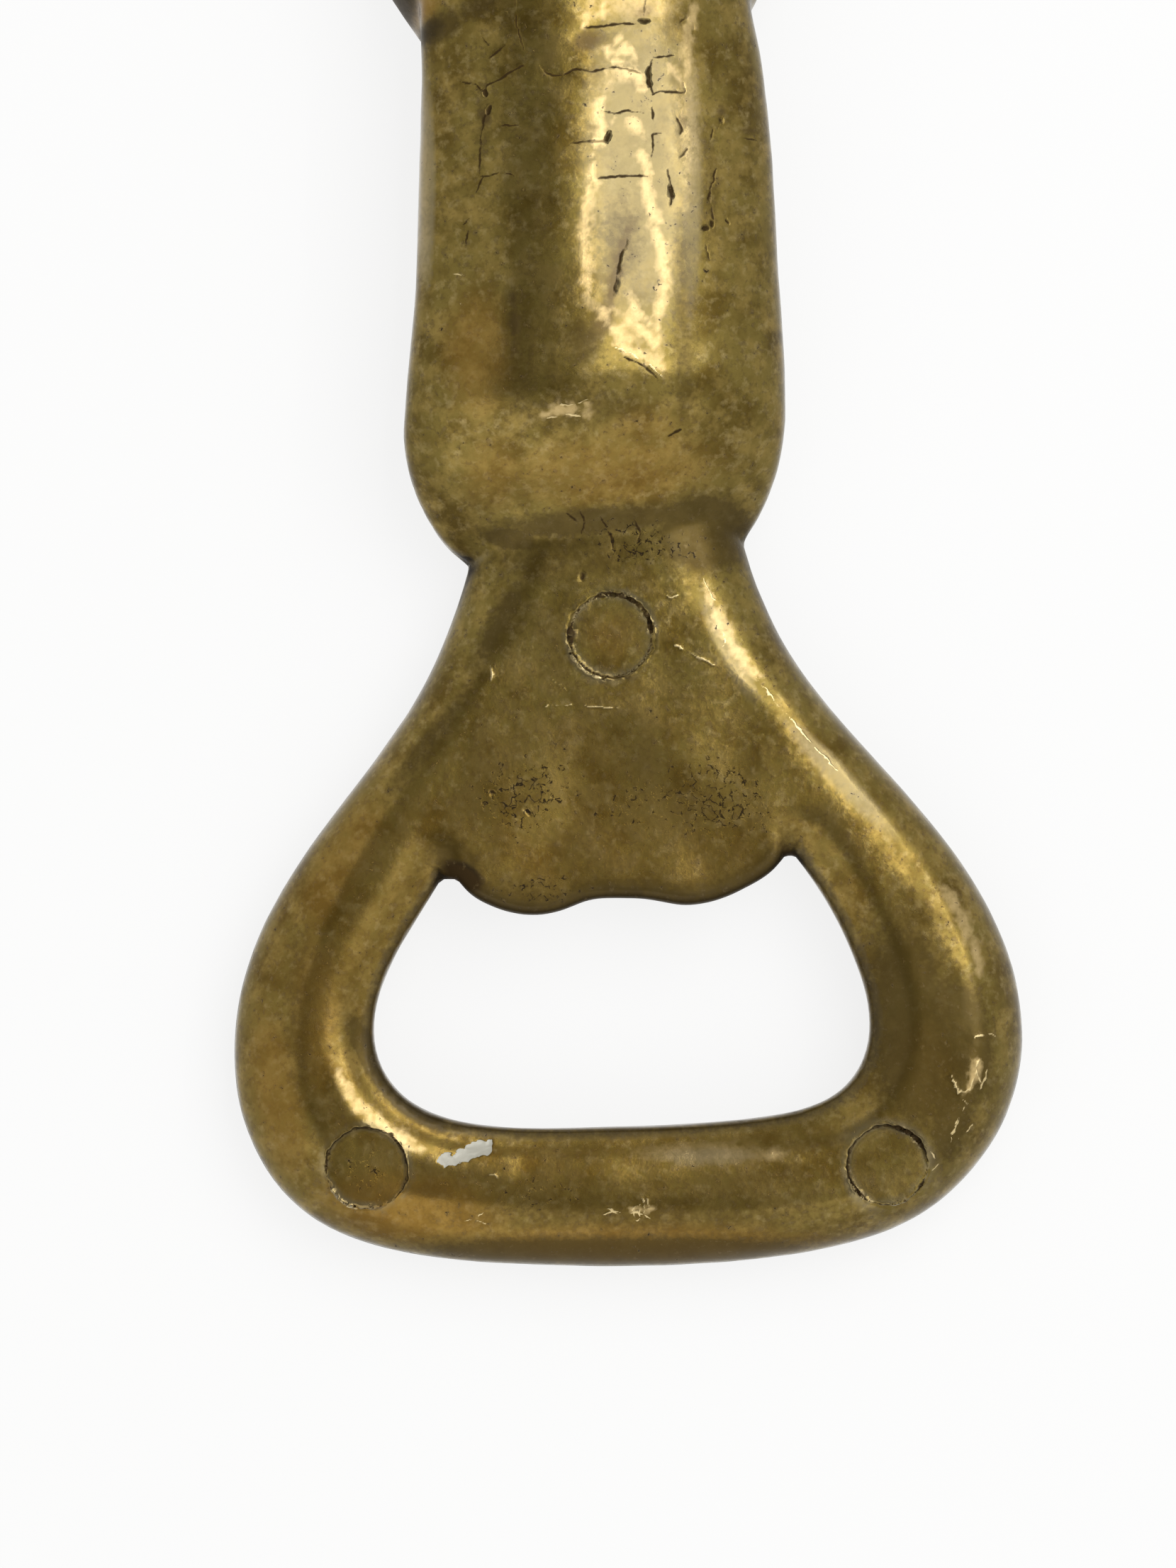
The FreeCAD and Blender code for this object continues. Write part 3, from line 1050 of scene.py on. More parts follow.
def joint_lines() -> LineWork:
    """Broken joints between the tower's stones, opened up by age.

    Returns:
        The joints, which share one depth and one stain.
    """
    strokes = (
        ((-2.67, 73.14), (-1.28, 73.28), (-0.4, 73.43), (0.49, 73.43)), ((0.89, 73.93), (0.99, 74.81)),
        ((2.57, 73.14), (3.16, 73.73), (3.75, 74.02)), ((3.8, 73.53), (3.85, 72.94)),
        ((-3.85, 70.37), (-3.16, 70.72), (-2.17, 70.57), (-1.09, 70.86), (-0.2, 70.77), (0.79, 70.47)),
        ((1.43, 71.36), (1.09, 70.42), (1.28, 69.78), (1.43, 69.28)),
        ((1.43, 71.46), (2.27, 71.56), (2.77, 71.65)),
        ((1.38, 69.28), (1.98, 69.48), (2.57, 69.38), (3.36, 69.48), (3.16, 70.07)),
        ((-1.58, 68.3), (-0.89, 68.15), (-0.15, 68.3), (0.89, 68.15)), ((1.38, 68.79), (1.43, 67.7)),
        ((-3.56, 66.32), (-2.17, 66.47), (-1.48, 66.47), (-1.19, 67.11)),
        ((1.98, 67.01), (1.38, 66.91), (1.48, 66.32), (1.33, 65.63)),
        ((2.77, 68.1), (3.16, 67.21), (2.96, 66.81)), ((5.23, 67.41), (5.58, 68.2)),
        ((4.94, 67.31), (4.79, 66.52)), ((2.96, 65.43), (3.46, 66.12)),
        ((-2.27, 64.25), (-1.38, 64.35), (-0.2, 64.44), (1.19, 64.49), (1.48, 64.35)),
        ((2.27, 64.89), (2.37, 64.35), (2.57, 63.56), (2.47, 62.57)),
        ((5.14, 65.04), (4.94, 64.15), (4.69, 63.16)), ((4.94, 62.77), (4.99, 61.78)),
        ((4.54, 60.49), (4.79, 59.51)), ((6.52, 66.91), (7.6, 66.72)),
        ((-6.72, 74.81), (-6.62, 73.23), (-6.37, 72.54), (-6.22, 71.85), (-5.73, 71.56)),
        ((-5.23, 70.96), (-4.84, 70.47), (-3.95, 70.32)), ((-8.64, 72.64), (-8.3, 72.15)),
        ((-8.49, 71.21), (-7.75, 71.75), (-7.31, 72.2)), ((-9.98, 70.12), (-8.99, 69.83), (-8.49, 69.38)),
        ((-8.49, 69.38), (-8.35, 69.78), (-7.51, 70.17), (-6.96, 70.57), (-5.83, 71.11)),
        ((-8.2, 68.69), (-8.49, 67.9), (-8.69, 67.11), (-8.79, 65.23), (-8.79, 64.54)),
        ((-7.6, 67.41), (-6.32, 67.41)), ((-6.12, 67.65), (-5.14, 68.0)),
        ((-8.89, 64.44), (-8.2, 64.44), (-7.7, 64.64)), ((-7.31, 64.64), (-6.72, 64.4)),
        ((-8.59, 64.44), (-8.99, 63.46)), ((-9.78, 61.58), (-9.48, 61.98)),
        ((-9.63, 60.4), (-9.48, 61.28)), ((-0.2, 60.49), (-0.54, 59.51), (-0.69, 58.32), (-0.94, 57.53)),
        ((-0.3, 53.78), (0.89, 53.28), (1.88, 52.4)), ((2.2, 49.1), (3.1, 49.6)),
        ((-3.7, 44.7), (-2.9, 44.1)), ((-2.9, 44.9), (-2.6, 44.2), (-2.8, 43.5)),
        ((-1.7, 44.5), (-1.0, 43.4), (-0.9, 42.6), (-0.3, 41.8)), ((0.3, 44.4), (0.7, 43.6), (0.5, 42.9)),
    )
    look = {"half_width": 0.13, "depth": 0.014, "wander": 0.07, "gaps": 0.03, "point": 0.5}
    return LineWork(Mask.JOINT, strokes, **look, seed=3)


def joint_pits() -> LineWork:
    """Places where a joint has crumbled into a wider pit.

    Returns:
        The pits, which share one depth and one stain.
    """
    strokes = (
        ((1.28, 70.96), (1.11, 70.47), (1.23, 69.78)), ((0.59, 73.58), (1.19, 73.53)),
        ((-1.28, 66.47), (-1.19, 67.01)), ((-8.2, 68.54), (-8.35, 68.1)), ((-8.49, 69.48), (-8.4, 69.09)),
        ((4.69, 63.26), (4.79, 62.96)), ((4.84, 61.88), (4.94, 61.58)), ((4.35, 61.48), (4.64, 61.43)),
        ((5.38, 68.0), (5.53, 67.7)), ((5.78, 61.98), (5.93, 61.78)), ((2.42, 63.95), (2.57, 63.16)),
        ((-8.2, 28.3), (-7.9, 28.1)), ((-6.1, 27.2), (-5.9, 27.0)), ((-2.75, 41.15), (-2.7, 40.9)),
    )
    look = {"half_width": 0.24, "depth": 0.10, "wander": 0.10, "gaps": 0.0, "point": 0.2}
    return LineWork(Mask.JOINT, strokes, **look, seed=4)


def dents_with_dark_reflection() -> LineWork:
    """Soft dents low on the tower, painted dark as a dark reflection.

    Returns:
        The dents, which share one depth and one stain.
    """
    strokes = (
        ((0.3, 61.9), (-0.3, 60.6), (-0.6, 59.6), (-0.8, 58.4), (-1.1, 57.2), (-1.5, 55.8)),
        ((-6.9, 57.6), (-6.7, 54.4)),
    )
    look = {"half_width": 0.75, "depth": 0.05, "wander": 0.12, "gaps": 0.0, "point": 2.6}
    return LineWork(Mask.DENT, strokes, **look, finest=1, seed=5)


def painted_highlight_edges() -> LineWork:
    """Ragged bright edges on the tower and the loop: painted highlights where the lamp's reflection lies,
    and a few rubbed smudges.

    Returns:
        The edges, which share one depth and one stain.
    """
    strokes = (
        ((-2.0, 65.1), (-2.3, 63.9), (-2.6, 62.4), (-2.7, 61.0), (-2.6, 59.6), (-2.5, 58.2), (-1.9, 56.4)),
        (
            ((0.9, 64.9), (1.0, 64.0), (1.3, 62.8), (1.6, 61.6))
            + ((1.9, 60.2), (2.1, 58.8), (2.1, 57.6), (1.5, 55.9))
        ),
        ((1.6, 56.0), (1.9, 54.1)), ((-1.4, 69.7), (-1.1, 70.4), (-0.2, 70.5), (0.7, 70.2), (0.9, 69.6)),
        ((-2.1, 65.9), (-1.6, 66.9), (-1.8, 68.1), (-1.6, 69.3)),
        ((-1.4, 71.3), (-1.2, 72.0), (-0.5, 72.7)), ((-0.8, 71.5), (-0.1, 72.0), (0.5, 71.5)),
        ((-1.0, 71.2), (0.5, 71.1)), ((-2.6, 73.3), (-2.5, 74.0), (-2.2, 74.8)),
        ((-2.0, 73.6), (-1.6, 74.2), (-1.5, 74.8)),
        ((3.3, 69.9), (3.5, 70.9), (3.4, 71.9), (3.5, 72.8), (3.7, 73.8), (3.9, 74.8)),
        ((2.4, 70.9), (2.9, 70.4), (3.2, 70.0)), ((0.6, 66.2), (0.9, 65.4), (1.2, 64.7)),
        ((-0.9, 67.9), (0.3, 67.7), (0.8, 66.9)), ((-0.6, 56.3), (0.3, 55.7), (1.2, 55.0), (1.9, 53.9)),
        ((-1.9, 57.0), (-1.3, 55.9), (-0.4, 55.0), (0.7, 54.5)), ((0.1, 57.3), (0.5, 56.3), (1.5, 55.9)),
        ((-1.0, 54.6), (0.3, 54.2), (1.4, 53.6), (2.3, 52.8)),
        ((-5.0, 50.35), (-3.9, 50.7), (-3.1, 50.75), (-2.3, 50.4)), ((0.0, 3.5), (1.3, 3.4)),
        ((18.8, 22.6), (19.8, 20.8), (20.6, 18.9), (20.9, 17.4)),
        ((21.0, 12.7), (20.6, 11.4), (20.1, 10.5)), ((-4.6, 50.9), (-3.4, 50.6), (-2.5, 50.9)),
        ((-17.2, 11.6), (-16.4, 9.9), (-14.7, 8.7), (-13.4, 7.7), (-12.3, 7.0)),
        ((4.6, 40.6), (5.2, 38.6), (6.1, 36.9), (7.8, 34.6)),
    )
    look = {"half_width": 0.78, "depth": 0.0, "wander": 0.22, "gaps": 0.0, "point": 1.2}
    return LineWork(Mask.GLINT, strokes, **look, finest=1, seed=8)


def scratches_and_glint_lines() -> LineWork:
    """Hairlines where the plating is rubbed bright, and thin painted highlights along the right leg, the
    neck and the right bar.

    Returns:
        The hairlines, which share one depth and one stain.
    """
    strokes = (
        ((-4.9, 33.3), (-3.4, 33.4), (-0.7, 33.2)), ((-4.9, 50.2), (-3.6, 50.4), (-2.3, 50.2)),
        ((-4.2, 50.9), (-2.9, 51.05), (-2.3, 51.3)),
        ((-1.0, 54.4), (0.2, 54.0), (1.3, 53.3), (2.0, 52.6)), ((-8.2, 35.9), (-8.1, 34.7)),
        ((7.5, 35.1), (9.0, 33.2), (10.7, 31.3), (12.6, 29.3)), ((4.4, 40.9), (4.9, 39.9), (5.3, 39.4)),
        ((5.0, 38.3), (5.7, 37.6), (5.6, 36.9)), ((-4.5, 34.9), (-3.6, 34.1)),
        ((2.06, 40.4), (2.4, 39.8), (2.85, 39.9)), ((2.4, 37.2), (4.2, 36.2), (5.1, 35.7)),
        ((20.7, 10.4), (21.0, 11.0), (21.3, 11.8)), ((19.0, 7.75), (19.5, 8.6), (19.8, 9.3)),
        ((19.6, 7.67), (20.4, 8.5)), ((18.1, 5.75), (18.75, 6.67)), ((0.1, 3.85), (0.4, 4.2)),
        ((0.3, 3.5), (0.6, 3.8), (0.95, 3.7)), ((0.05, 3.2), (0.5, 3.4), (0.85, 3.2)),
        ((0.75, 4.25), (1.0, 3.95)), ((0.9, 3.5), (1.35, 3.6)), ((1.0, 3.15), (1.25, 2.85)),
        ((0.4, 2.8), (0.7, 2.95)), ((0.2, 3.65), (0.35, 3.05)), ((0.6, 3.75), (0.75, 3.0)),
        ((0.9, 3.95), (0.95, 3.3)), ((1.1, 4.1), (1.2, 3.75)), ((-1.5, 3.15), (-0.9, 3.4), (-0.3, 3.3)),
        ((-1.2, 3.6), (-0.6, 3.15)), ((-8.25, 5.55), (-7.9, 5.6), (-7.75, 5.35)),
        ((-9.7, 2.75), (-9.0, 2.85), (-8.5, 2.6)), ((-9.0, 3.0), (-8.6, 3.3)),
        ((20.9, 12.6), (20.5, 11.4), (20.2, 10.5)), ((20.4, 12.2), (20.9, 11.0)),
        ((19.2, 11.4), (19.5, 10.4), (20.3, 10.6)), ((19.5, 10.2), (20.1, 9.8)),
        ((19.9, 9.6), (19.4, 8.6), (19.1, 7.4)), ((20.9, 14.2), (21.5, 14.35)),
        ((20.4, 13.7), (21.2, 14.0), (21.7, 13.8)), ((17.9, 6.9), (18.3, 6.3)),
        ((-10.1, 56.9), (-9.6, 57.1)), ((-10.4, 58.7), (-9.7, 58.6)),
        ((-3.56, 36.8), (-3.2, 36.0), (-2.5, 35.35), (-1.9, 35.05), (-1.4, 34.9)),
        ((13.1, 5.3), (13.4, 4.7), (13.8, 4.25), (14.25, 3.95)),
        ((-17.8, 4.85), (-17.3, 4.15), (-16.6, 3.65), (-16.1, 3.5)),
    )
    look = {"half_width": 0.10, "depth": -0.02, "wander": 0.10, "gaps": 0.4, "point": 0.5}
    return LineWork(Mask.SCRATCH, strokes, **look, seed=7)


def bare_chip() -> LineWork:
    """The chip at the opening's lower left, where the plating has flaked off the zinc.

    Returns:
        The strokes that the chip is made of, which share one depth and one stain.
    """
    strokes = (
        ((-11.3, 6.4), (-10.5, 6.5), (-9.7, 6.8), (-9.0, 7.1), (-8.2, 7.4)),
        ((-10.3, 6.6), (-9.2, 6.8), (-8.3, 7.15)), ((-9.5, 7.1), (-8.3, 7.4)),
    )
    look = {"half_width": 0.55, "depth": 0.05, "wander": 0.15, "gaps": 0.0, "point": 0.3}
    return LineWork(Mask.BARE, strokes, **look, seed=9)


# ---------------------------------------------------------------- the casting's skin
def surface_net(values: Array, low: Array, step: float) -> tuple[Array, Array]:
    """The closed surface on which a sampled field is zero.

    Args:
        values: the field on a regular grid, negative inside.
        low: position of the grid's first sample.
        step: spacing of the samples.

    Returns:
        Points, and quads as rows of four point numbers, facing outwards.
    """
    inside = values < 0
    cells = tuple(n - 1 for n in values.shape)
    total = np.zeros(cells + (3,))
    hits = np.zeros(cells)
    corners = [(i, j, k) for i in (0, 1) for j in (0, 1) for k in (0, 1)]

    def at(corner: Sequence[int]) -> Array:
        """The field at one corner of every cell."""
        return values[tuple(slice(c, c + n) for c, n in zip(corner, cells))]

    for corner in corners:
        for axis in range(3):
            if corner[axis]:
                continue
            other = list(corner)
            other[axis] = 1
            first = at(corner)
            last = at(other)
            crossed = (first < 0) != (last < 0)
            share = np.where(crossed, first / np.where(crossed, first - last, 1), 0)
            for way in range(3):
                total[..., way] += crossed * (corner[way] + (share if way == axis else 0))
            hits += crossed
    active = hits > 0
    number = np.full(cells, -1)
    number[active] = np.arange(active.sum())
    points = low + step * (np.argwhere(active) + total[active] / hits[active][:, None])
    quads = []
    for axis in range(3):
        u = (axis + 1) % 3
        v = (axis + 2) % 3
        span = [slice(1, -1)] * 3
        span[axis] = slice(0, -1)
        start = inside[tuple(span)]
        span[axis] = slice(1, None)
        crossed = start != inside[tuple(span)]
        where = np.argwhere(crossed)
        where[:, [u, v]] += 1
        ring = []
        for du, dv in ((-1, -1), (0, -1), (0, 0), (-1, 0)):
            cell = where.copy()
            cell[:, u] += du
            cell[:, v] += dv
            ring.append(number[tuple(cell.T)])
        quad = np.stack(ring, 1)
        turned = ~start[crossed]
        quad[turned] = quad[turned][:, ::-1]
        quads.append(quad)
    return points, np.vstack(quads)


def gradient(shape: Field, points: Array, reach: float = 0.02) -> Array:
    """The field's slope at each point, from four samples round it.

    Args:
        shape: the field.
        points: count by three.
        reach: how far from a point its samples lie, along each axis.

    Returns:
        Slopes, count by three.
    """
    slope = np.zeros_like(points)
    for way in ((1, -1, -1), (-1, -1, 1), (-1, 1, -1), (1, 1, 1)):
        x, y, z = (points + reach * np.array(way)).T
        slope += np.array(way) * shape(x, y, z)[:, None]
    return slope / (4 * reach)


def settle(shape: Field, points: Array, rounds: int = 3) -> Array:
    """Moves points onto the surface on which a field is zero.

    Args:
        shape: the field.
        points: count by three, near the surface.
        rounds: how many times they are moved.

    Returns:
        The moved points.
    """
    for _ in range(rounds):
        slope = gradient(shape, points)
        steep = np.maximum((slope**2).sum(1), 0.05)
        move = slope * (shape(*points.T) / steep)[:, None]
        length = np.linalg.norm(move, axis=1, keepdims=True)
        points = points - move * np.minimum(1, LONGEST_MOVE / np.maximum(length, 1e-9))
    return points


@dataclass
class Casting:
    """The whole opener as one closed skin, from its sub-assemblies to its finished mesh."""

    loop: Loop = field(default_factory=Loop)
    tower: Tower = field(default_factory=Tower)
    step: float = 0.55  # of the coarsest stretches of the mesh
    low: Point3 = (-25.2, -1.7, -1.3)  # the two corners of the space that the mesh is sought in
    high: Point3 = (25.2, 94.5, 14.2)
    foot_fillet: float = 0.6
    back_fillet: float = 1.6  # more of a fillet on the back
    back_turn: Span = (5.0, 7.5)  # z over which the back's fillet comes in
    corbel_fillet: float = 0.5
    line_reach: Point3 = (0.7, 0.30, 0.08)  # from a line, within which the mesh is finer, level by level
    rim_reach: Point3 = (0.9, 0.50, 0.22)  # from a pin mark's rim, in the same way
    back_level: float = 2.8  # z above which lines and marks can lie
    edge_reach: float = 1.6  # from the lip's edge and the tower's foot, at the first level
    carving_reach: float = 0.4  # from the carving on the front, at the second level
    feelers: Point3 = (0.5, 1.2, 2.6)  # distances over which a place is felt to be hollow or proud
    wave_height: float = 0.045
    wave_length: float = 5.5
    ripple_height: float = 0.009
    ripple_length: float = 1.3
    skin_seed: int = 11

    def __post_init__(self) -> None:
        """Builds the sub-assemblies that lean on the loop and the tower."""
        self.lip = Lip(self.loop)
        self.parapet = Parapet(self.tower)
        self.masonry = Masonry(self.tower)
        self.carving = FrontCarving(self.tower)
        self.marks = pin_marks(self.loop)
        self.patches = patches()
        self.lines = [joint_lines(), joint_pits(), dents_with_dark_reflection(), painted_highlight_edges(), scratches_and_glint_lines(), bare_chip()]

    def shape(self, x: Array, y: Array, z: Array) -> Array:
        """Signed distance from the casting.

        Args:
            x: places across.
            y: places along.
            z: places above the table.

        Returns:
            One distance for each place, negative inside.
        """
        head = self.lip.cut(self.loop.distance(x, y, z), x, y, z)
        handle = merge(self.tower.distance(x, y, z), self.parapet.distance(x, y, z), self.corbel_fillet)
        handle = handle + self.masonry.groove(x, y, z)
        handle = self.carving.sink(handle, x, y, z)
        body = merge(head, handle, self.foot_fillet + self.back_fillet * ease(z, *self.back_turn))
        for mark in self.marks:
            body = mark.press(body, x, y, z)
        return np.maximum(body, -z)

    def coarse(self) -> tuple[Array, Array]:
        """The skin at the coarsest spacing, evened out.

        Returns:
            Points, and quads as rows of four point numbers.
        """
        axes = [np.arange(low, high, self.step) for low, high in zip(self.low, self.high)]
        x, y, z = np.meshgrid(*axes, indexing="ij", sparse=True)
        points, quads = surface_net(self.shape(x, y, z), np.array(self.low), self.step)
        edges = np.vstack([quads[:, [i, (i + 1) % 4]] for i in range(4)])
        for _ in range(3):
            total = np.zeros_like(points)
            for way in range(3):
                total[:, way] = np.bincount(edges[:, 0], points[edges[:, 1], way], len(points))
            count = np.bincount(edges[:, 0], minlength=len(points))[:, None]
            points = settle(self.shape, 0.5 * points + 0.5 * total / count, 2)
        return points, quads

    def detail(self, points: Array, level: int) -> Array:
        """Which points lie where the mesh has to be finer.

        Args:
            points: count by three.
            level: 0 for the first refinement of the mesh, 2 for the last.

        Returns:
            True for each point that lies there.
        """
        x, y, z = points.T
        near_line = np.full(len(points), FAR)
        for lines in self.lines:
            if lines.finest > level:
                near_line = np.minimum(near_line, lines.distance(x, y) - lines.half_width)
        near_rim = np.full(len(points), FAR)
        for mark in self.marks:
            near_rim = np.minimum(near_rim, np.abs(mark.rim(x, y)))
        fine = (near_line < self.line_reach[level]) | (near_rim < self.rim_reach[level])
        fine &= z > self.back_level
        if level == 0:
            tower = self.tower
            edge = np.abs(self.lip.below.distance(x, y)) + np.maximum(self.loop.opening.distance(x, y), 0)
            foot = np.abs(tower.level(x, y, z, tower.tilt, tower.lean) - 0.3)
            fine |= np.minimum(edge, foot) < self.edge_reach
            front_of_tower = (y > 48) & (z < 5.0)
            top_of_tower = y > 60.0
            fine |= front_of_tower | top_of_tower
        if level == 1:
            front = z < 4
            fine |= front & (np.abs(self.carving.distance(x, y)) < self.carving_reach)
        return fine

    def fine(self) -> bpy.types.Mesh:
        """The skin with its detailed places refined.

        Returns:
            One closed mesh, in this class's own millimetres.
        """
        points, quads = self.coarse()
        mesh = bpy.data.meshes.new(NODE)
        mesh.from_pydata(points.tolist(), [], quads.tolist())
        grid = bmesh.new()
        grid.from_mesh(mesh)
        for level in range(3):
            places = np.array([v.co for v in grid.verts])
            chosen = self.detail(places, level)
            edges = [e for e in grid.edges if chosen[e.verts[0].index] and chosen[e.verts[1].index]]
            bmesh.ops.subdivide_edges(grid, edges=edges, cuts=1, use_grid_fill=True)
            grid.verts.index_update()
            places = settle(self.shape, np.array([v.co for v in grid.verts]))
            for vertex, place in zip(grid.verts, places):
                vertex.co = place
        bmesh.ops.triangulate(grid, faces=[f for f in grid.faces if len(f.verts) > 4])
        grid.to_mesh(mesh)
        grid.free()
        return mesh

    def masks(self, mesh: bpy.types.Mesh) -> None:
        """Stores the masks that the finish reads.

        Grime and painted shade lie in hollows, painted shade at the lip's edge and round the hole, and
        wear on what stands proud. The patches add what no rule gives, painted light and shade among them.

        Args:
            mesh: the skin, which gets one attribute for each mask.
        """
        points = np.empty(len(mesh.vertices) * 3)
        mesh.vertices.foreach_get("co", points)
        points = points.reshape(-1, 3)
        slope = gradient(self.shape, points, 0.12)
        out = slope / np.maximum(np.linalg.norm(slope, axis=1, keepdims=True), 1e-6)
        grime = np.zeros(len(points))
        wear = np.zeros(len(points))
        # Outwards from a hollow there is metal soon, and inwards from a proud place there is air.
        for reach in self.feelers:
            open_air = self.shape(*(points + reach * out).T) / reach
            solid = -self.shape(*(points - reach * out).T) / reach
            grime += ease(1 - open_air, 0.05, 0.75) / 3
            wear += ease(1 - solid, 0.05, 0.6) / 3
        x, y, z = points.T
        back = ease(z, 3.0, 5.0)
        on_lip = 1 - ease(self.loop.opening.distance(x, y), -1.0, 0.5)
        hole = self.lip.hole(x, y)
        # Painted shade along the lip's edge.
        grime += 0.45 * back * on_lip * (1 - ease(hole, 0.1, 1.1))
        values = {Mask.GRIME: grime, Mask.WEAR: wear}
        # The pin marks' crevices, darkened for their dirt and as painted shade.
        values[Mask.JOINT] = back * np.max([mark.dirt(x, y) for mark in self.marks], axis=0)
        # Painted shade round the opening's rim, which dims the reflection in its inner rounding.
        values[Mask.SOIL] = back * (0.45 + 1.0 * on_lip) * (1 - ease(hole, 0.2, 1.3 + 1.1 * on_lip))
        for patch in self.patches:
            value = patch.value(x, y) * back
            values[patch.mask] = np.maximum(values.get(patch.mask, 0.0), value)
        for mask, value in values.items():
            layer = mesh.attributes.new(mask.value, "FLOAT", "POINT")
            layer.data.foreach_set("value", value.astype(np.float32))

    def place(self, mesh: bpy.types.Mesh) -> Placer:
        """Moves the mesh into the frame, in metres.

        Args:
            mesh: the skin.

        Returns:
            A function that takes this class's x and y to a place in the frame.
        """
        low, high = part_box(NODE)
        edge = self.loop.outside.points
        shift_x = (low.x + high.x) / 2 - MM * (edge[:, 0].min() + edge[:, 0].max()) / 2
        shift_y = low.y - MM * edge[:, 1].min()
        points = np.empty(len(mesh.vertices) * 3)
        mesh.vertices.foreach_get("co", points)
        points = points.reshape(-1, 3) * MM + np.array([shift_x, shift_y, low.z])
        mesh.vertices.foreach_set("co", points.ravel())
        mesh.update()
        return lambda x, y: Vector((x * MM + shift_x, y * MM + shift_y, 0.0))


# ---------------------------------------------------------------- node trees
def add_node(
    tree: Tree,
    kind: str,
    inputs: dict[int | str, object] | None = None,
    **settings: object,
) -> bpy.types.bpy_prop_collection:
    """Adds one node to a tree.

    Args:
        tree: where it goes.
        kind: the node's type.
        inputs: what each input holds: a value, or the output that it is linked to.
        settings: values of the node's own properties.

    Returns:
        The node's outputs.
    """
    node = tree.nodes.new(kind)
    for name, value in settings.items():
        setattr(node, name, value)
    for name, value in (inputs or {}).items():
        if isinstance(value, Socket):
            tree.links.new(value, node.inputs[name])
        else:
            node.inputs[name].default_value = value
    return node.outputs


def blank_tree(owner: bpy.types.Material | bpy.types.World) -> Tree:
    """Gives a new material or world an empty node tree.

    Args:
        owner: the material or world.

    Returns:
        The tree.
    """
    owner.use_nodes = True
    owner.node_tree.nodes.clear()
    return owner.node_tree


class SkinTree:
    """A geometry tree that reshapes the casting's skin, with named inputs for its sizes."""

    def __init__(self, name: str, sockets: Sequence[tuple[str, str]]) -> None:
        """Starts the tree.

        Args:
            name: what it is called.
            sockets: the name and the socket type of each input after the geometry.
        """
        self.tree = bpy.data.node_groups.new(name, "GeometryNodeTree")
        face = self.tree.interface
        face.new_socket("Geometry", in_out="INPUT", socket_type="NodeSocketGeometry")
        face.new_socket("Geometry", in_out="OUTPUT", socket_type="NodeSocketGeometry")
        self.keys = {}
        for label, kind in (*sockets, ("Material", "NodeSocketMaterial")):
            self.keys[label] = face.new_socket(label, in_out="INPUT", socket_type=kind).identifier
        self.given = add_node(self.tree, "NodeGroupInput")

    def finish(self, geometry: Socket) -> None:
        """Closes the tree with real geometry that carries the material.

        Args:
            geometry: what the tree has made of the skin.
        """
        real = add_node(self.tree, "GeometryNodeRealizeInstances", {0: geometry})
        dress = {0: real[0], 2: self.given["Material"]}
        dressed = add_node(self.tree, "GeometryNodeSetMaterial", dress)
        add_node(self.tree, "NodeGroupOutput", {0: dressed[0]})

    def run(self, obj: bpy.types.Object, values: dict[str, object]) -> None:
        """Puts an object through the tree and keeps the result as its plain mesh.

        Args:
            obj: the object, which ends with no modifier.
            values: what each named input holds.
        """
        modifier = obj.modifiers.new(self.tree.name, "NODES")
        modifier.node_group = self.tree
        for label, value in values.items():
            modifier[self.keys[label]] = value
        graph = bpy.context.evaluated_depsgraph_get()
        graph.update()
        result = bpy.data.meshes.new_from_object(obj.evaluated_get(graph), depsgraph=graph)
        obj.modifiers.clear()
        obj.data = result


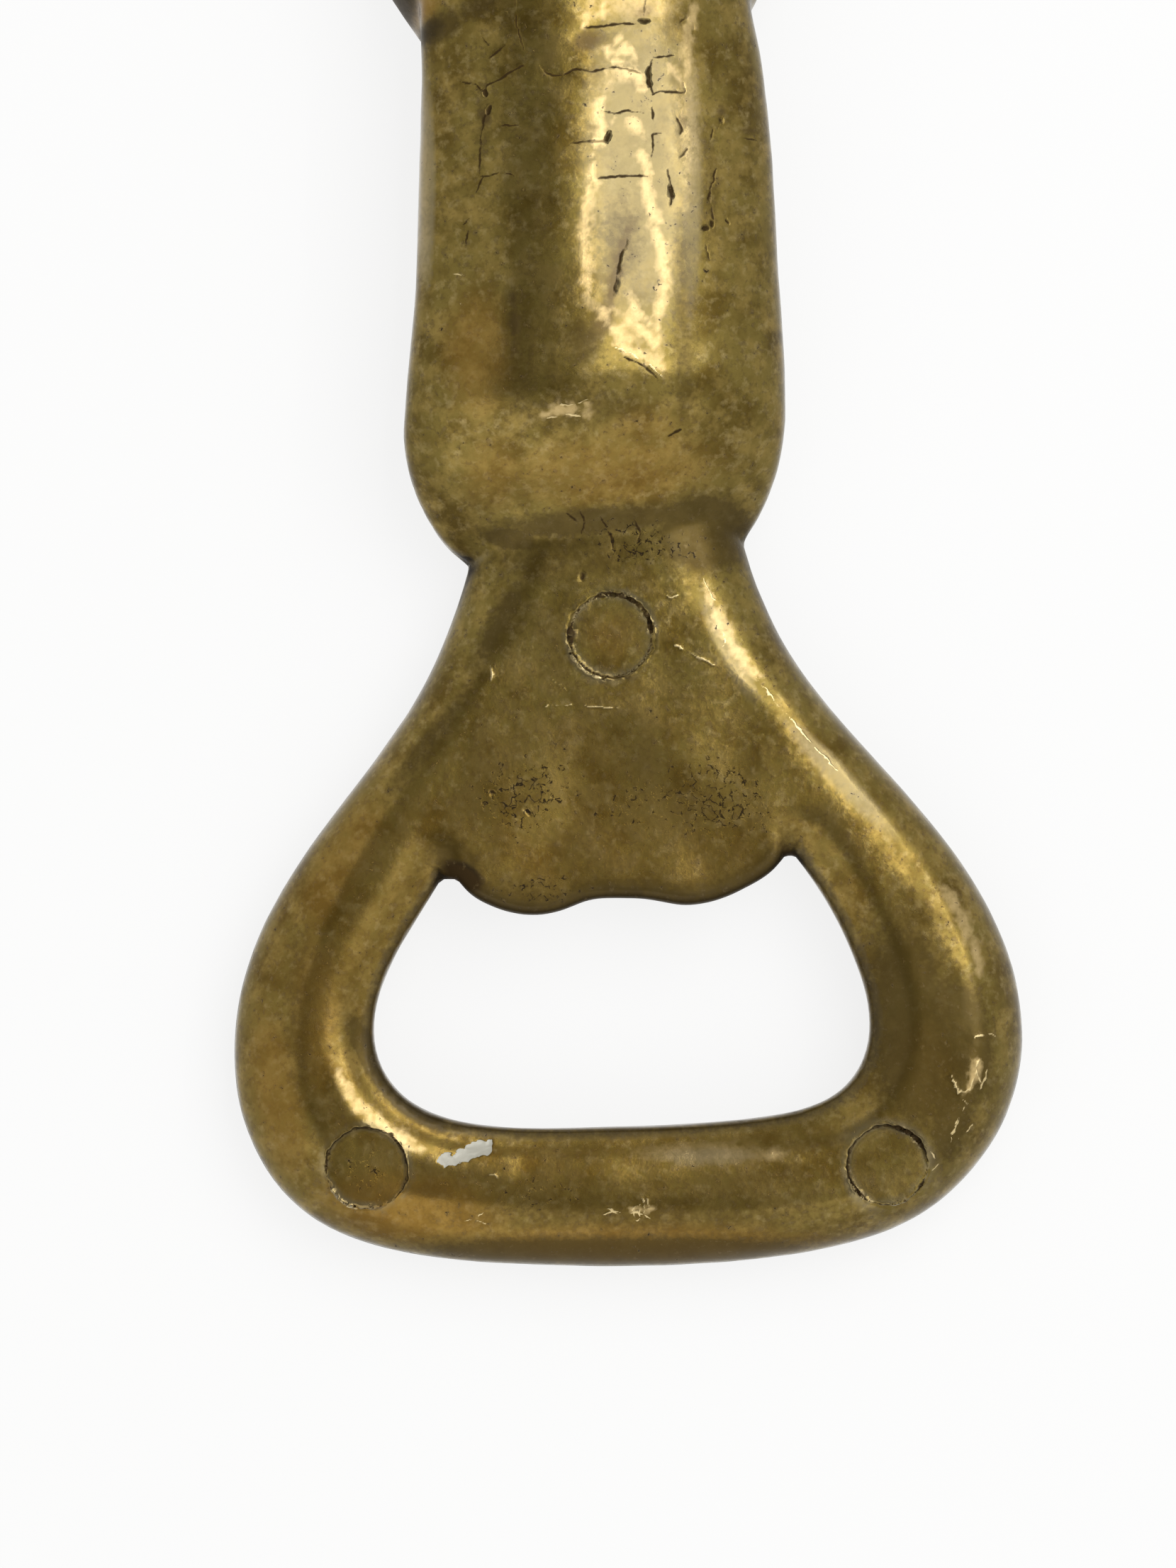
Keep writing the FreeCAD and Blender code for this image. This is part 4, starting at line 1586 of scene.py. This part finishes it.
def worn_lines() -> SkinTree:
    """A tree that sinks or raises the back along strokes and stores how strongly it did.

    Returns:
        The tree. Its lines stray, swell and break off as their noise has it.
    """
    lengths = ("Half Width", "Depth", "Wander", "Gaps")
    sockets = [("Strokes", "NodeSocketObject")] + [(name, "NodeSocketFloat") for name in lengths]
    skin = SkinTree("worn_lines", sockets + [("Seed", "NodeSocketInt"), ("Mask", "NodeSocketString")])
    tree = skin.tree
    given = skin.given
    position = add_node(tree, "GeometryNodeInputPosition")[0]
    level = (1, 1, 0)
    flat = add_node(tree, "ShaderNodeVectorMath", {0: position, 1: level}, operation="MULTIPLY")[0]

    # The line strays from its stroke by up to twice the wander, with a bend every half millimetre.
    clouds = {"Vector": flat, "W": given["Seed"], "Scale": 1 / (0.45 * MM), "Detail": 2.0}
    stray = add_node(tree, "ShaderNodeTexNoise", clouds, noise_dimensions="4D")[1]
    middle = {0: stray, 1: (0.5, 0.5, 0.5)}
    centred = add_node(tree, "ShaderNodeVectorMath", middle, operation="SUBTRACT")[0]
    reach = add_node(tree, "ShaderNodeMath", {0: given["Wander"], 1: 4.0}, operation="MULTIPLY")[0]
    sides = add_node(tree, "ShaderNodeVectorMath", {0: centred, 1: level}, operation="MULTIPLY")[0]
    shift = {0: sides, "Scale": reach}
    offset = add_node(tree, "ShaderNodeVectorMath", shift, operation="SCALE")[0]
    sample = add_node(tree, "ShaderNodeVectorMath", {0: flat, 1: offset}, operation="ADD")[0]
    strokes = add_node(tree, "GeometryNodeObjectInfo", {0: given["Strokes"]})["Geometry"]
    targets = {0: strokes, "Sample Position": sample}
    near = add_node(tree, "GeometryNodeProximity", targets, target_element="EDGES")["Distance"]
    closest = add_node(tree, "GeometryNodeSampleNearest", targets, domain="POINT")[0]
    own = add_node(tree, "GeometryNodeInputNamedAttribute", {"Name": "share"}, data_type="FLOAT")[0]
    read = {0: strokes, "Value": own, "Index": closest}
    share = add_node(tree, "GeometryNodeSampleIndex", read, data_type="FLOAT", domain="POINT")[0]

    # Its width swells and shrinks about every millimetre, is nothing in the gaps and comes to a
    # point at each end.
    clouds = {"Vector": flat, "W": given["Seed"], "Scale": 1 / (0.8 * MM), "Detail": 3.0}
    ragged = add_node(tree, "ShaderNodeTexNoise", clouds, noise_dimensions="4D")[0]
    spread = {0: given["Gaps"], 3: 0.30, 4: 0.52}
    start = add_node(tree, "ShaderNodeMapRange", spread)[0]
    grow = {0: ragged, 1: start, 2: 0.66, 3: 0.15, 4: 1.3}
    swell = add_node(tree, "ShaderNodeMapRange", grow)[0]
    swell = add_node(tree, "ShaderNodeMath", {0: swell, 1: share}, operation="MULTIPLY")[0]
    full = {0: given["Half Width"], 1: swell}
    width = add_node(tree, "ShaderNodeMath", full, operation="MULTIPLY")[0]
    across = {0: near, 1: 0.0, 2: width, 3: 1.0, 4: 0.0}
    profile = add_node(tree, "ShaderNodeMapRange", across, interpolation_type="SMOOTHSTEP")[0]
    deep = add_node(tree, "ShaderNodeMapRange", {0: swell, 1: 0.15, 2: 0.6})[0]
    profile = add_node(tree, "ShaderNodeMath", {0: profile, 1: deep}, operation="MULTIPLY")[0]

    # Only the back takes the lines.
    normal = add_node(tree, "GeometryNodeInputNormal")[0]
    upward = add_node(tree, "ShaderNodeSeparateXYZ", {0: normal})[2]
    back = add_node(tree, "ShaderNodeMapRange", {0: upward, 1: 0.0, 2: 0.3})[0]
    strength = add_node(tree, "ShaderNodeMath", {0: profile, 1: back}, operation="MULTIPLY")[0]

    named = {"Name": given["Mask"]}
    before = add_node(tree, "GeometryNodeInputNamedAttribute", named, data_type="FLOAT")[0]
    most = add_node(tree, "ShaderNodeMath", {0: before, 1: strength}, operation="MAXIMUM")[0]
    kept = {0: given["Geometry"], "Name": given["Mask"], "Value": most}
    stored = add_node(tree, "GeometryNodeStoreNamedAttribute", kept, data_type="FLOAT", domain="POINT")
    sunk = add_node(tree, "ShaderNodeMath", {0: strength, 1: given["Depth"]}, operation="MULTIPLY")[0]
    inward = add_node(tree, "ShaderNodeMath", {0: sunk, 1: -1.0}, operation="MULTIPLY")[0]
    move = add_node(tree, "ShaderNodeVectorMath", {0: normal, "Scale": inward}, operation="SCALE")[0]
    moved = add_node(tree, "GeometryNodeSetPosition", {0: stored[0], "Offset": move})
    skin.finish(moved[0])
    return skin


def cast_skin() -> SkinTree:
    """A tree that gives the skin the slow waves and fine unevenness of a worn casting.

    Returns:
        The tree. The face that the casting rests on stays flat.
    """
    lengths = ("Wave Height", "Wave Length", "Ripple Height", "Ripple Length")
    sockets = [(name, "NodeSocketFloat") for name in lengths] + [("Seed", "NodeSocketInt")]
    skin = SkinTree("cast_skin", sockets)
    tree = skin.tree
    given = skin.given
    position = add_node(tree, "GeometryNodeInputPosition")[0]
    total = 0.0
    for height, length in (lengths[:2], lengths[2:]):
        scale = add_node(tree, "ShaderNodeMath", {0: 1.0, 1: given[length]}, operation="DIVIDE")[0]
        clouds = {"Vector": position, "W": given["Seed"], "Scale": scale, "Detail": 1.0}
        texture = add_node(tree, "ShaderNodeTexNoise", clouds, noise_dimensions="4D")[0]
        # Taking off three quarters makes the waves sink the skin and hardly ever raise it.
        sunk = add_node(tree, "ShaderNodeMath", {0: texture, 1: 0.75}, operation="SUBTRACT")[0]
        full = add_node(tree, "ShaderNodeMath", {0: given[height], 1: 4.0}, operation="MULTIPLY")[0]
        part = {0: sunk, 1: full, 2: total}
        total = add_node(tree, "ShaderNodeMath", part, operation="MULTIPLY_ADD")[0]
    above = add_node(tree, "ShaderNodeSeparateXYZ", {0: position})[2]
    free = add_node(tree, "ShaderNodeMapRange", {0: above, 1: 0.05 * MM, 2: 0.5 * MM})[0]
    outward = add_node(tree, "ShaderNodeMath", {0: total, 1: free}, operation="MULTIPLY")[0]
    normal = add_node(tree, "GeometryNodeInputNormal")[0]
    move = add_node(tree, "ShaderNodeVectorMath", {0: normal, "Scale": outward}, operation="SCALE")[0]
    moved = add_node(tree, "GeometryNodeSetPosition", {0: given["Geometry"], "Offset": move})
    skin.finish(moved[0])
    return skin


# ---------------------------------------------------------------- finishes
def linear(code: str) -> tuple[float, float, float, float]:
    """Turns an sRGB colour to linear.

    Args:
        code: a hex code such as "#B08D57".

    Returns:
        Red, green, blue and alpha.
    """
    shares = (int(code[i : i + 2], 16) / 255 for i in (1, 3, 5))
    red, green, blue = (s / 12.92 if s <= 0.04045 else ((s + 0.055) / 1.055) ** 2.4 for s in shares)
    return red, green, blue, 1.0


@dataclass(frozen=True)
class Film:
    """Tarnish of one colour that lies in cloudy patches."""

    colour: str
    size: float  # mm, of one patch
    low: float  # cloudiness at which it starts to show
    high: float  # cloudiness at which it is at its fullest
    strength: float = 1.0
    detail: float = 4.0

    def lay(
        self,
        tree: Tree,
        where: Socket,
        under: Socket | tuple[float, ...],
        seed: float,
    ) -> tuple[Socket, Socket]:
        """Lays the film over a colour.

        Args:
            tree: the material's tree.
            where: the place on the piece.
            under: the colour beneath.
            seed: sets these patches apart from those of other films.

        Returns:
            The cloudiness, and the colour with the film on it.
        """
        clouds = {"Vector": where, "W": seed, "Scale": 1 / (self.size * MM)}
        clouds |= {"Detail": self.detail, "Roughness": 0.62}
        texture = add_node(tree, "ShaderNodeTexNoise", clouds, noise_dimensions="4D")[0]
        spread = {0: texture, 1: self.low, 2: self.high, 3: 0.0, 4: self.strength}
        share = add_node(tree, "ShaderNodeMapRange", spread)[0]
        colours = {0: share, 6: under, 7: linear(self.colour)}
        return texture, add_node(tree, "ShaderNodeMix", colours, data_type="RGBA")[2]


@dataclass(frozen=True)
class Stain:
    """Something that lies where one of the mesh's masks is strong."""

    mask: Mask
    colour: str
    low: float  # mask value at which it starts to show
    high: float  # mask value at which it is at its fullest
    strength: float = 1.0
    ragged: float = 0.0  # how far clouds push its edge about

    def lay(self, tree: Tree, clouds: Socket, under: Socket) -> tuple[Socket, Socket]:
        """Lays the stain over a colour.

        Args:
            tree: the material's tree.
            clouds: values round 0.5 that break up the stain's edge.
            under: the colour beneath.

        Returns:
            How much of the stain shows, and the colour with the stain on it.
        """
        mask = add_node(tree, "ShaderNodeAttribute", attribute_name=self.mask.value)["Fac"]
        low = {0: clouds, 1: -2 * self.ragged, 2: self.low + self.ragged}
        start = add_node(tree, "ShaderNodeMath", low, operation="MULTIPLY_ADD")[0]
        reach = {0: start, 1: self.high - self.low}
        end = add_node(tree, "ShaderNodeMath", reach, operation="ADD")[0]
        spread = {0: mask, 1: start, 2: end, 3: 0.0, 4: self.strength}
        share = add_node(tree, "ShaderNodeMapRange", spread)[0]
        colours = {0: share, 6: under, 7: linear(self.colour)}
        return share, add_node(tree, "ShaderNodeMix", colours, data_type="RGBA")[2]


@dataclass(frozen=True)
class AgedBrassPlate:
    """Brass plate on a die casting of zinc, handled and tarnished for decades.

    The film of oxide is olive to brown and satin, so reflections are soft at their edges. Where
    hands rub it the metal is paler and glossier. Old dirt is dull and nearly black in the hollows.
    Some of the colour is painted light: paler sheen and bright glints where the lamps' highlights
    lie, and painted shade in the hollows, creases and notches and over highlights that are dimmed.
    """

    olive: str = "#6D5D28"
    films: tuple[Film, ...] = (
        Film("#52410D", size=3.2, low=0.43, high=0.62, strength=1.0),
        Film("#857038", size=1.4, low=0.46, high=0.66, strength=0.85),
        Film("#988658", size=0.55, low=0.52, high=0.76, strength=0.65),
        Film("#332808", size=0.36, low=0.53, high=0.70, strength=0.65),
    )
    stains: tuple[Stain, ...] = (
        Stain(Mask.RUST, "#85601F", low=0.05, high=0.90, strength=0.55, ragged=0.35),
        # Rubbed metal on proud places, and painted sheen where the wear patches lie under the lamp's
        # highlights.
        Stain(Mask.WEAR, "#7A6C45", low=0.36, high=0.96, strength=0.65, ragged=0.25),
        # Old dirt, and painted shade in creases, at the notches, round the opening and over dimmed
        # highlights.
        Stain(Mask.SOIL, "#40320C", low=0.10, high=1.00, strength=0.80, ragged=0.75),
        # Painted dark reflection in the dents, and darker stones.
        Stain(Mask.DENT, "#4C3C1A", low=0.05, high=0.80, strength=0.90, ragged=0.30),
        # Dirt and painted shade in the hollows, and painted shade at the lip's edge, under the parapet and
        # in the left notch.
        Stain(Mask.GRIME, "#1E1608", low=0.12, high=0.66, strength=0.95, ragged=0.15),
        # Dark joints, and painted shade in the notches and the pin marks' crevices.
        Stain(Mask.JOINT, "#33240A", low=0.15, high=0.80, strength=0.95, ragged=0.30),
        # Painted highlights, and a few rubbed smudges.
        Stain(Mask.GLINT, "#BFA672", low=0.10, high=1.20, strength=0.78, ragged=0.60),
        # Bright hairlines, some of them thin painted highlights.
        Stain(Mask.SCRATCH, "#CBB684", low=0.15, high=0.65, strength=0.85, ragged=0.30),
        Stain(Mask.BARE, "#B4B1A3", low=0.10, high=0.16, strength=1.00, ragged=0.08),
    )
    dirt: str = "#2A1F0C"
    craze_size: float = 0.62  # mm, of the flakes between cracks
    craze_width: float = 0.065  # share of a flake
    craze_bend: float = 1.1  # mm, unit of how far the cracks stray
    craze_bend_size: float = 0.5  # mm, of one bend in a crack
    satin: float = 0.22  # roughness of the oxide
    rubbed: float = 0.15  # of rubbed metal
    matt: float = 0.65  # of dirt
    flaked: float = 0.5  # of zinc without its plating
    oxide_metal: float = 0.97  # how metallic the oxide is
    dirt_metal: float = 0.85  # and dirt, which lets some metal through
    zinc_metal: float = 0.3  # and corroded zinc
    coat: float = 0.20  # wax and oil from hands
    polish: float = 1.0  # the same where it is rubbed
    relief: float = 0.010  # mm, unit of the bump

    def craze(self, tree: Tree, where: Socket, clouds: Socket) -> Socket:
        """Fine cracks between flakes of the plating, in the crazed places only.

        Args:
            tree: the material's tree.
            where: the place on the piece.
            clouds: values round 0.5 that break up the net of cracks.

        Returns:
            1 in a crack, 0 elsewhere.
        """
        bends = {"Vector": where, "Scale": 1 / (self.craze_bend_size * MM), "Detail": 2.0}
        stray = add_node(tree, "ShaderNodeTexNoise", bends)[1]
        shift = {0: stray, 1: (self.craze_bend * MM, self.craze_bend * MM, 0.0), 2: where}
        bent = add_node(tree, "ShaderNodeVectorMath", shift, operation="MULTIPLY_ADD")[0]
        cells = {"Vector": bent, "Scale": 1 / (self.craze_size * MM)}
        edge = add_node(tree, "ShaderNodeTexVoronoi", cells, feature="DISTANCE_TO_EDGE")[0]
        crack = {0: edge, 1: self.craze_width * 0.4, 2: self.craze_width, 3: 1.0, 4: 0.0}
        line = add_node(tree, "ShaderNodeMapRange", crack)[0]
        zone = add_node(tree, "ShaderNodeAttribute", attribute_name=Mask.CRAZE.value)["Fac"]
        # The cloudier a place, the lower the mask at which its cracks start to show.
        cloudy = {0: clouds, 1: -4.2, 2: 2.65}
        start = add_node(tree, "ShaderNodeMath", cloudy, operation="MULTIPLY_ADD")[0]
        end = add_node(tree, "ShaderNodeMath", {0: start, 1: 0.35}, operation="ADD")[0]
        shown = add_node(tree, "ShaderNodeMapRange", {0: zone, 1: start, 2: end})[0]
        return add_node(tree, "ShaderNodeMath", {0: line, 1: shown}, operation="MULTIPLY")[0]

    def build(self) -> bpy.types.Material:
        """Makes the material.

        Returns:
            The material, which reads the piece's masks and Object coordinates.
        """
        material = bpy.data.materials.new(SLOT)
        tree = blank_tree(material)
        where = add_node(tree, "ShaderNodeTexCoord")["Object"]

        # Films of oxide lie over the brass, and over them whatever the masks bring.
        clouds = []
        colour = linear(self.olive)
        for number, film in enumerate(self.films):
            texture, colour = film.lay(tree, where, colour, 1.7 * number)
            clouds.append(texture)
        shown = {}
        for stain in self.stains:
            shown[stain.mask], colour = stain.lay(tree, clouds[3], colour)
        cracks = self.craze(tree, where, clouds[3])
        colours = {0: cracks, 6: colour, 7: linear(self.dirt)}
        colour = add_node(tree, "ShaderNodeMix", colours, data_type="RGBA")[2]

        # Dirt is dull, with the painted shade that shares its masks; rubbed metal is glossy and flaked zinc
        # lies between the two.
        dirt = cracks
        for mask in (Mask.GRIME, Mask.JOINT):
            dirt = add_node(tree, "ShaderNodeMath", {0: dirt, 1: shown[mask]}, operation="MAXIMUM")[0]
        gloss = {0: clouds[1], 1: 0.35, 2: 0.65, 3: self.satin * 1.25, 4: self.satin * 0.85}
        rough = add_node(tree, "ShaderNodeMapRange", gloss)[0]
        levels = [(shown[Mask.WEAR], self.rubbed), (shown[Mask.SOIL], self.satin * 1.7)]
        levels += [(dirt, self.matt), (shown[Mask.BARE], self.flaked)]
        for share, level in levels:
            rough = add_node(tree, "ShaderNodeMix", {0: share, 2: rough, 3: level})[0]
        dulled = {0: dirt, 3: self.oxide_metal, 4: self.dirt_metal}
        metal = add_node(tree, "ShaderNodeMapRange", dulled)[0]
        bare = {0: shown[Mask.BARE], 2: metal, 3: self.zinc_metal}
        metal = add_node(tree, "ShaderNodeMix", bare)[0]

        # Hands leave wax and oil, the most of it where they rub and on the patches of painted sheen.
        handled = {0: shown[Mask.WEAR], 2: self.coat, 3: self.polish}
        waxed = add_node(tree, "ShaderNodeMix", handled)[0]
        waxed = add_node(tree, "ShaderNodeMix", {0: dirt, 2: waxed, 3: 0.0})[0]

        # The films have a fine relief, in which the cracks and the flaked places are sunk.
        height = 0.0
        reliefs = [(clouds[3], 0.5), (clouds[2], 0.7), (clouds[1], 1.5)]
        reliefs += [(cracks, -3.0), (shown[Mask.BARE], -3.0)]
        for value, units in reliefs:
            layer = {0: value, 1: units, 2: height}
            height = add_node(tree, "ShaderNodeMath", layer, operation="MULTIPLY_ADD")[0]
        bump = add_node(tree, "ShaderNodeBump", {"Distance": self.relief * MM, "Height": height})

        surface = {"Base Color": colour, "Roughness": rough, "Metallic": metal, "Normal": bump[0]}
        surface |= {"Coat Weight": waxed, "Coat Roughness": self.satin}
        metal_shader = add_node(tree, "ShaderNodeBsdfPrincipled", surface)
        add_node(tree, "ShaderNodeOutputMaterial", {0: metal_shader[0]})
        return material


def seen_rays(tree: Tree) -> Socket:
    """Tells rays that are looked along from rays that only carry light.

    Args:
        tree: the tree that asks.

    Returns:
        1 for rays from the camera and through reflections and glass, 0 for other light.
    """
    path = add_node(tree, "ShaderNodeLightPath")
    first = {0: path["Is Camera Ray"], 1: path["Is Glossy Ray"]}
    eye = add_node(tree, "ShaderNodeMath", first, operation="MAXIMUM")[0]
    second = {0: eye, 1: path["Is Transmission Ray"]}
    return add_node(tree, "ShaderNodeMath", second, operation="MAXIMUM")[0]


@dataclass(frozen=True)
class PaleTable:
    """A smooth, matt white table top, which takes a soft shadow."""

    shade: str = "#F4F4F2"
    glow: float = 0.82  # share of plain white that the eye and reflections see

    def build(self) -> bpy.types.Material:
        """Makes the material.

        Returns:
            The material: matt white mixed with plain white for the rays that are looked along.
        """
        material = bpy.data.materials.new("pale_table")
        tree = blank_tree(material)
        matt = add_node(tree, "ShaderNodeBsdfDiffuse", {0: linear(self.shade)})[0]
        white = add_node(tree, "ShaderNodeEmission", {0: linear("#FFFFFF"), 1: 1.0})[0]
        share = add_node(tree, "ShaderNodeMapRange", {0: seen_rays(tree), 3: 0.0, 4: self.glow})[0]
        mixed = add_node(tree, "ShaderNodeMixShader", {0: share, 1: matt, 2: white})[0]
        add_node(tree, "ShaderNodeOutputMaterial", {0: mixed})
        return material


@dataclass(frozen=True)
class GreyCard:
    """A matt grey card that only reflections see, so that polished metal has something to show."""

    level: float

    def build(self) -> bpy.types.Material:
        """Makes the material.

        Returns:
            The material: an even grey at the card's level.
        """
        material = bpy.data.materials.new("grey_card")
        tree = blank_tree(material)
        grey = add_node(tree, "ShaderNodeEmission", {0: linear("#FFFFFF"), 1: self.level})[0]
        add_node(tree, "ShaderNodeOutputMaterial", {0: grey})
        return material


# ---------------------------------------------------------------- studio
@dataclass
class Panel:
    """A level panel over the opener, placed by the angles at which it starts and ends."""

    name: str
    right: Span  # degrees from straight up towards +x, start and end
    back: Span  # degrees from straight up towards +y, start and end
    height: float = 0.45  # metres above the table

    def sides(self) -> tuple[float, float, float, float]:
        """Where the panel's sides lie from the point below.

        Returns:
            The lowest and highest x, then the lowest and highest y.
        """
        spans = (math.tan(math.radians(angle)) * self.height for angle in self.right + self.back)
        low_x, high_x, low_y, high_y = spans
        return low_x, high_x, low_y, high_y

    def light(self, target: Vector, radiance: float) -> None:
        """Makes the panel a lamp.

        Args:
            target: the point that the angles are seen from.
            radiance: how bright it looks, where 1 is plain white.
        """
        low_x, high_x, low_y, high_y = self.sides()
        lamp = bpy.data.lights.new(self.name, "AREA")
        lamp.shape = "RECTANGLE"
        lamp.size = high_x - low_x
        lamp.size_y = high_y - low_y
        lamp.energy = radiance * math.pi * lamp.size * lamp.size_y
        obj = bpy.data.objects.new(self.name, lamp)
        obj.location = target + Vector(((low_x + high_x) / 2, (low_y + high_y) / 2, self.height))
        bpy.context.scene.collection.objects.link(obj)

    def card(self, target: Vector, level: float) -> None:
        """Makes the panel a card that only reflections see.

        Args:
            target: the point that the angles are seen from.
            level: how bright it looks, where 1 is plain white.
        """
        low_x, high_x, low_y, high_y = self.sides()
        corners = ((low_x, low_y), (high_x, low_y), (high_x, high_y), (low_x, high_y))
        mesh = bpy.data.meshes.new(self.name)
        mesh.from_pydata([target + Vector((x, y, self.height)) for x, y in corners], [], [(0, 1, 2, 3)])
        mesh.materials.append(GreyCard(level).build())
        obj = bpy.data.objects.new(self.name, mesh)
        obj.visible_camera = False
        obj.visible_diffuse = False
        obj.visible_shadow = False
        obj.visible_transmission = False
        bpy.context.scene.collection.objects.link(obj)


@dataclass
class Studio:
    """Table, lamps, white surroundings and the camera straight above the opener's back."""

    table_size: float = 1.2
    table_gap: float = 0.02  # mm under the opener
    daylight: float = 0.55  # strength of the surroundings as plain light
    lit_spot: Point = (0.0, 38.0)  # that the panels' angles are seen from
    camera_height: float = 0.60
    view_width: float = 70.0  # mm across the view
    view_middle: Point = (-2.41, 28.71)
    view_level: float = 3.6  # mm above the table, where the view is that wide

    def build(self, place: Placer, floor_z: float) -> None:
        """Adds everything that isn't the opener.

        Args:
            place: takes x and y on the opener to a place in the frame.
            floor_z: where the opener rests.
        """
        self.table(floor_z)
        self.surroundings()
        target = place(*self.lit_spot)
        Panel("window", (9.6, 36.0), (0.8, 47.0)).light(target, radiance=2.3)
        Panel("window_left_frame", (7.2, 9.4), (-0.9, 49.0)).light(target, radiance=6.5)
        Panel("window_left_edge", (5.4, 7.2), (-0.9, 49.0)).light(target, radiance=1.4)
        Panel("window_right_frame", (36.2, 38.4), (-0.9, 49.0)).light(target, radiance=6.5)
        Panel("window_right_edge", (38.4, 50.0), (-0.9, 49.0)).light(target, radiance=0.85)
        Panel("window_low_frame", (9.6, 36.0), (-2.6, 0.6)).light(target, radiance=3.8)
        Panel("low_window", (10.0, 38.0), (-58.0, -8.0), 1.02).light(target, radiance=0.30)
        Panel("front_window", (-45.0, 45.0), (-72.0, -25.0), 1.02).light(target, radiance=0.50)
        Panel("overhead_card", (-20.0, 4.2), (-32.0, 58.0), 0.98).card(target, level=0.42)
        self.camera(place, floor_z)

    def table(self, floor_z: float) -> None:
        """Adds the table top just under the opener.

        Args:
            floor_z: where the opener rests.
        """
        half = self.table_size / 2
        level = floor_z - self.table_gap * MM
        corners = ((-half, -half), (half, -half), (half, half), (-half, half))
        mesh = bpy.data.meshes.new("table")
        mesh.from_pydata([(x, y, level) for x, y in corners], [], [(0, 1, 2, 3)])
        mesh.materials.append(PaleTable().build())
        table = bpy.data.objects.new("table", mesh)
        bpy.context.scene.collection.objects.link(table)

    def surroundings(self) -> None:
        """White wherever the eye or a reflection looks, and plain daylight otherwise."""
        world = bpy.data.worlds.new("surroundings")
        tree = blank_tree(world)
        levels = {0: seen_rays(tree), 3: self.daylight, 4: 1.0}
        share = add_node(tree, "ShaderNodeMapRange", levels)[0]
        light = add_node(tree, "ShaderNodeBackground", {0: linear("#FFFFFF"), 1: share})[0]
        add_node(tree, "ShaderNodeOutputWorld", {0: light})
        bpy.context.scene.world = world

    def camera(self, place: Placer, floor_z: float) -> None:
        """Adds the camera, which looks straight down with +Y up the view.

        Args:
            place: takes x and y on the opener to a place in the frame.
            floor_z: where the opener rests.
        """
        data = bpy.data.cameras.new("camera")
        data.sensor_fit = "HORIZONTAL"
        distance = self.camera_height - self.view_level * MM
        data.angle = 2 * math.atan(self.view_width * MM / 2 / distance)
        data.clip_start = 0.01
        camera = bpy.data.objects.new("camera", data)
        camera.location = place(*self.view_middle)
        camera.location.z = floor_z + self.camera_height
        bpy.context.scene.collection.objects.link(camera)
        bpy.context.scene.camera = camera


# ---------------------------------------------------------------- making
def make_opener(casting: Casting) -> tuple[bpy.types.Object, Placer]:
    """Builds and dresses the opener.

    Args:
        casting: its sub-assemblies.

    Returns:
        The opener, and the function that takes a place on it to the frame.
    """
    mesh = casting.fine()
    casting.masks(mesh)
    place = casting.place(mesh)
    material = AgedBrassPlate().build()
    opener = bpy.data.objects.new("opener", mesh)
    bpy.context.scene.collection.objects.link(opener)
    lines = worn_lines()
    for work in casting.lines:
        strokes = work.build(place)
        bpy.context.scene.collection.objects.link(strokes)
        values = {"Strokes": strokes, "Half Width": work.half_width * MM, "Depth": work.depth * MM}
        values |= {"Wander": work.wander * MM, "Gaps": work.gaps, "Seed": work.seed}
        lines.run(opener, values | {"Mask": work.mask.value, "Material": material})
        bpy.data.objects.remove(strokes)
        LOG.info("%s: %d strokes", work.mask.value, len(work.strokes))
    values = {"Wave Height": casting.wave_height * MM, "Wave Length": casting.wave_length * MM}
    values |= {"Ripple Height": casting.ripple_height * MM, "Ripple Length": casting.ripple_length * MM}
    cast_skin().run(opener, values | {"Seed": casting.skin_seed, "Material": material})
    opener.data.shade_smooth()
    return opener, place


def main() -> None:
    """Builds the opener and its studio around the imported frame."""
    logging.basicConfig(level=logging.INFO, format="%(name)s: %(message)s")
    bpy.context.scene.view_settings.view_transform = "Standard"
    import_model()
    opener, place = make_opener(Casting())
    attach(opener, "root")
    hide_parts(NODE)
    LOG.info("opener: %d points, %d faces", len(opener.data.vertices), len(opener.data.polygons))
    Studio().build(place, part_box(NODE)[0].z)
    LOG.info("studio: table, window, cards and camera")


if __name__ == "__main__":
    main()
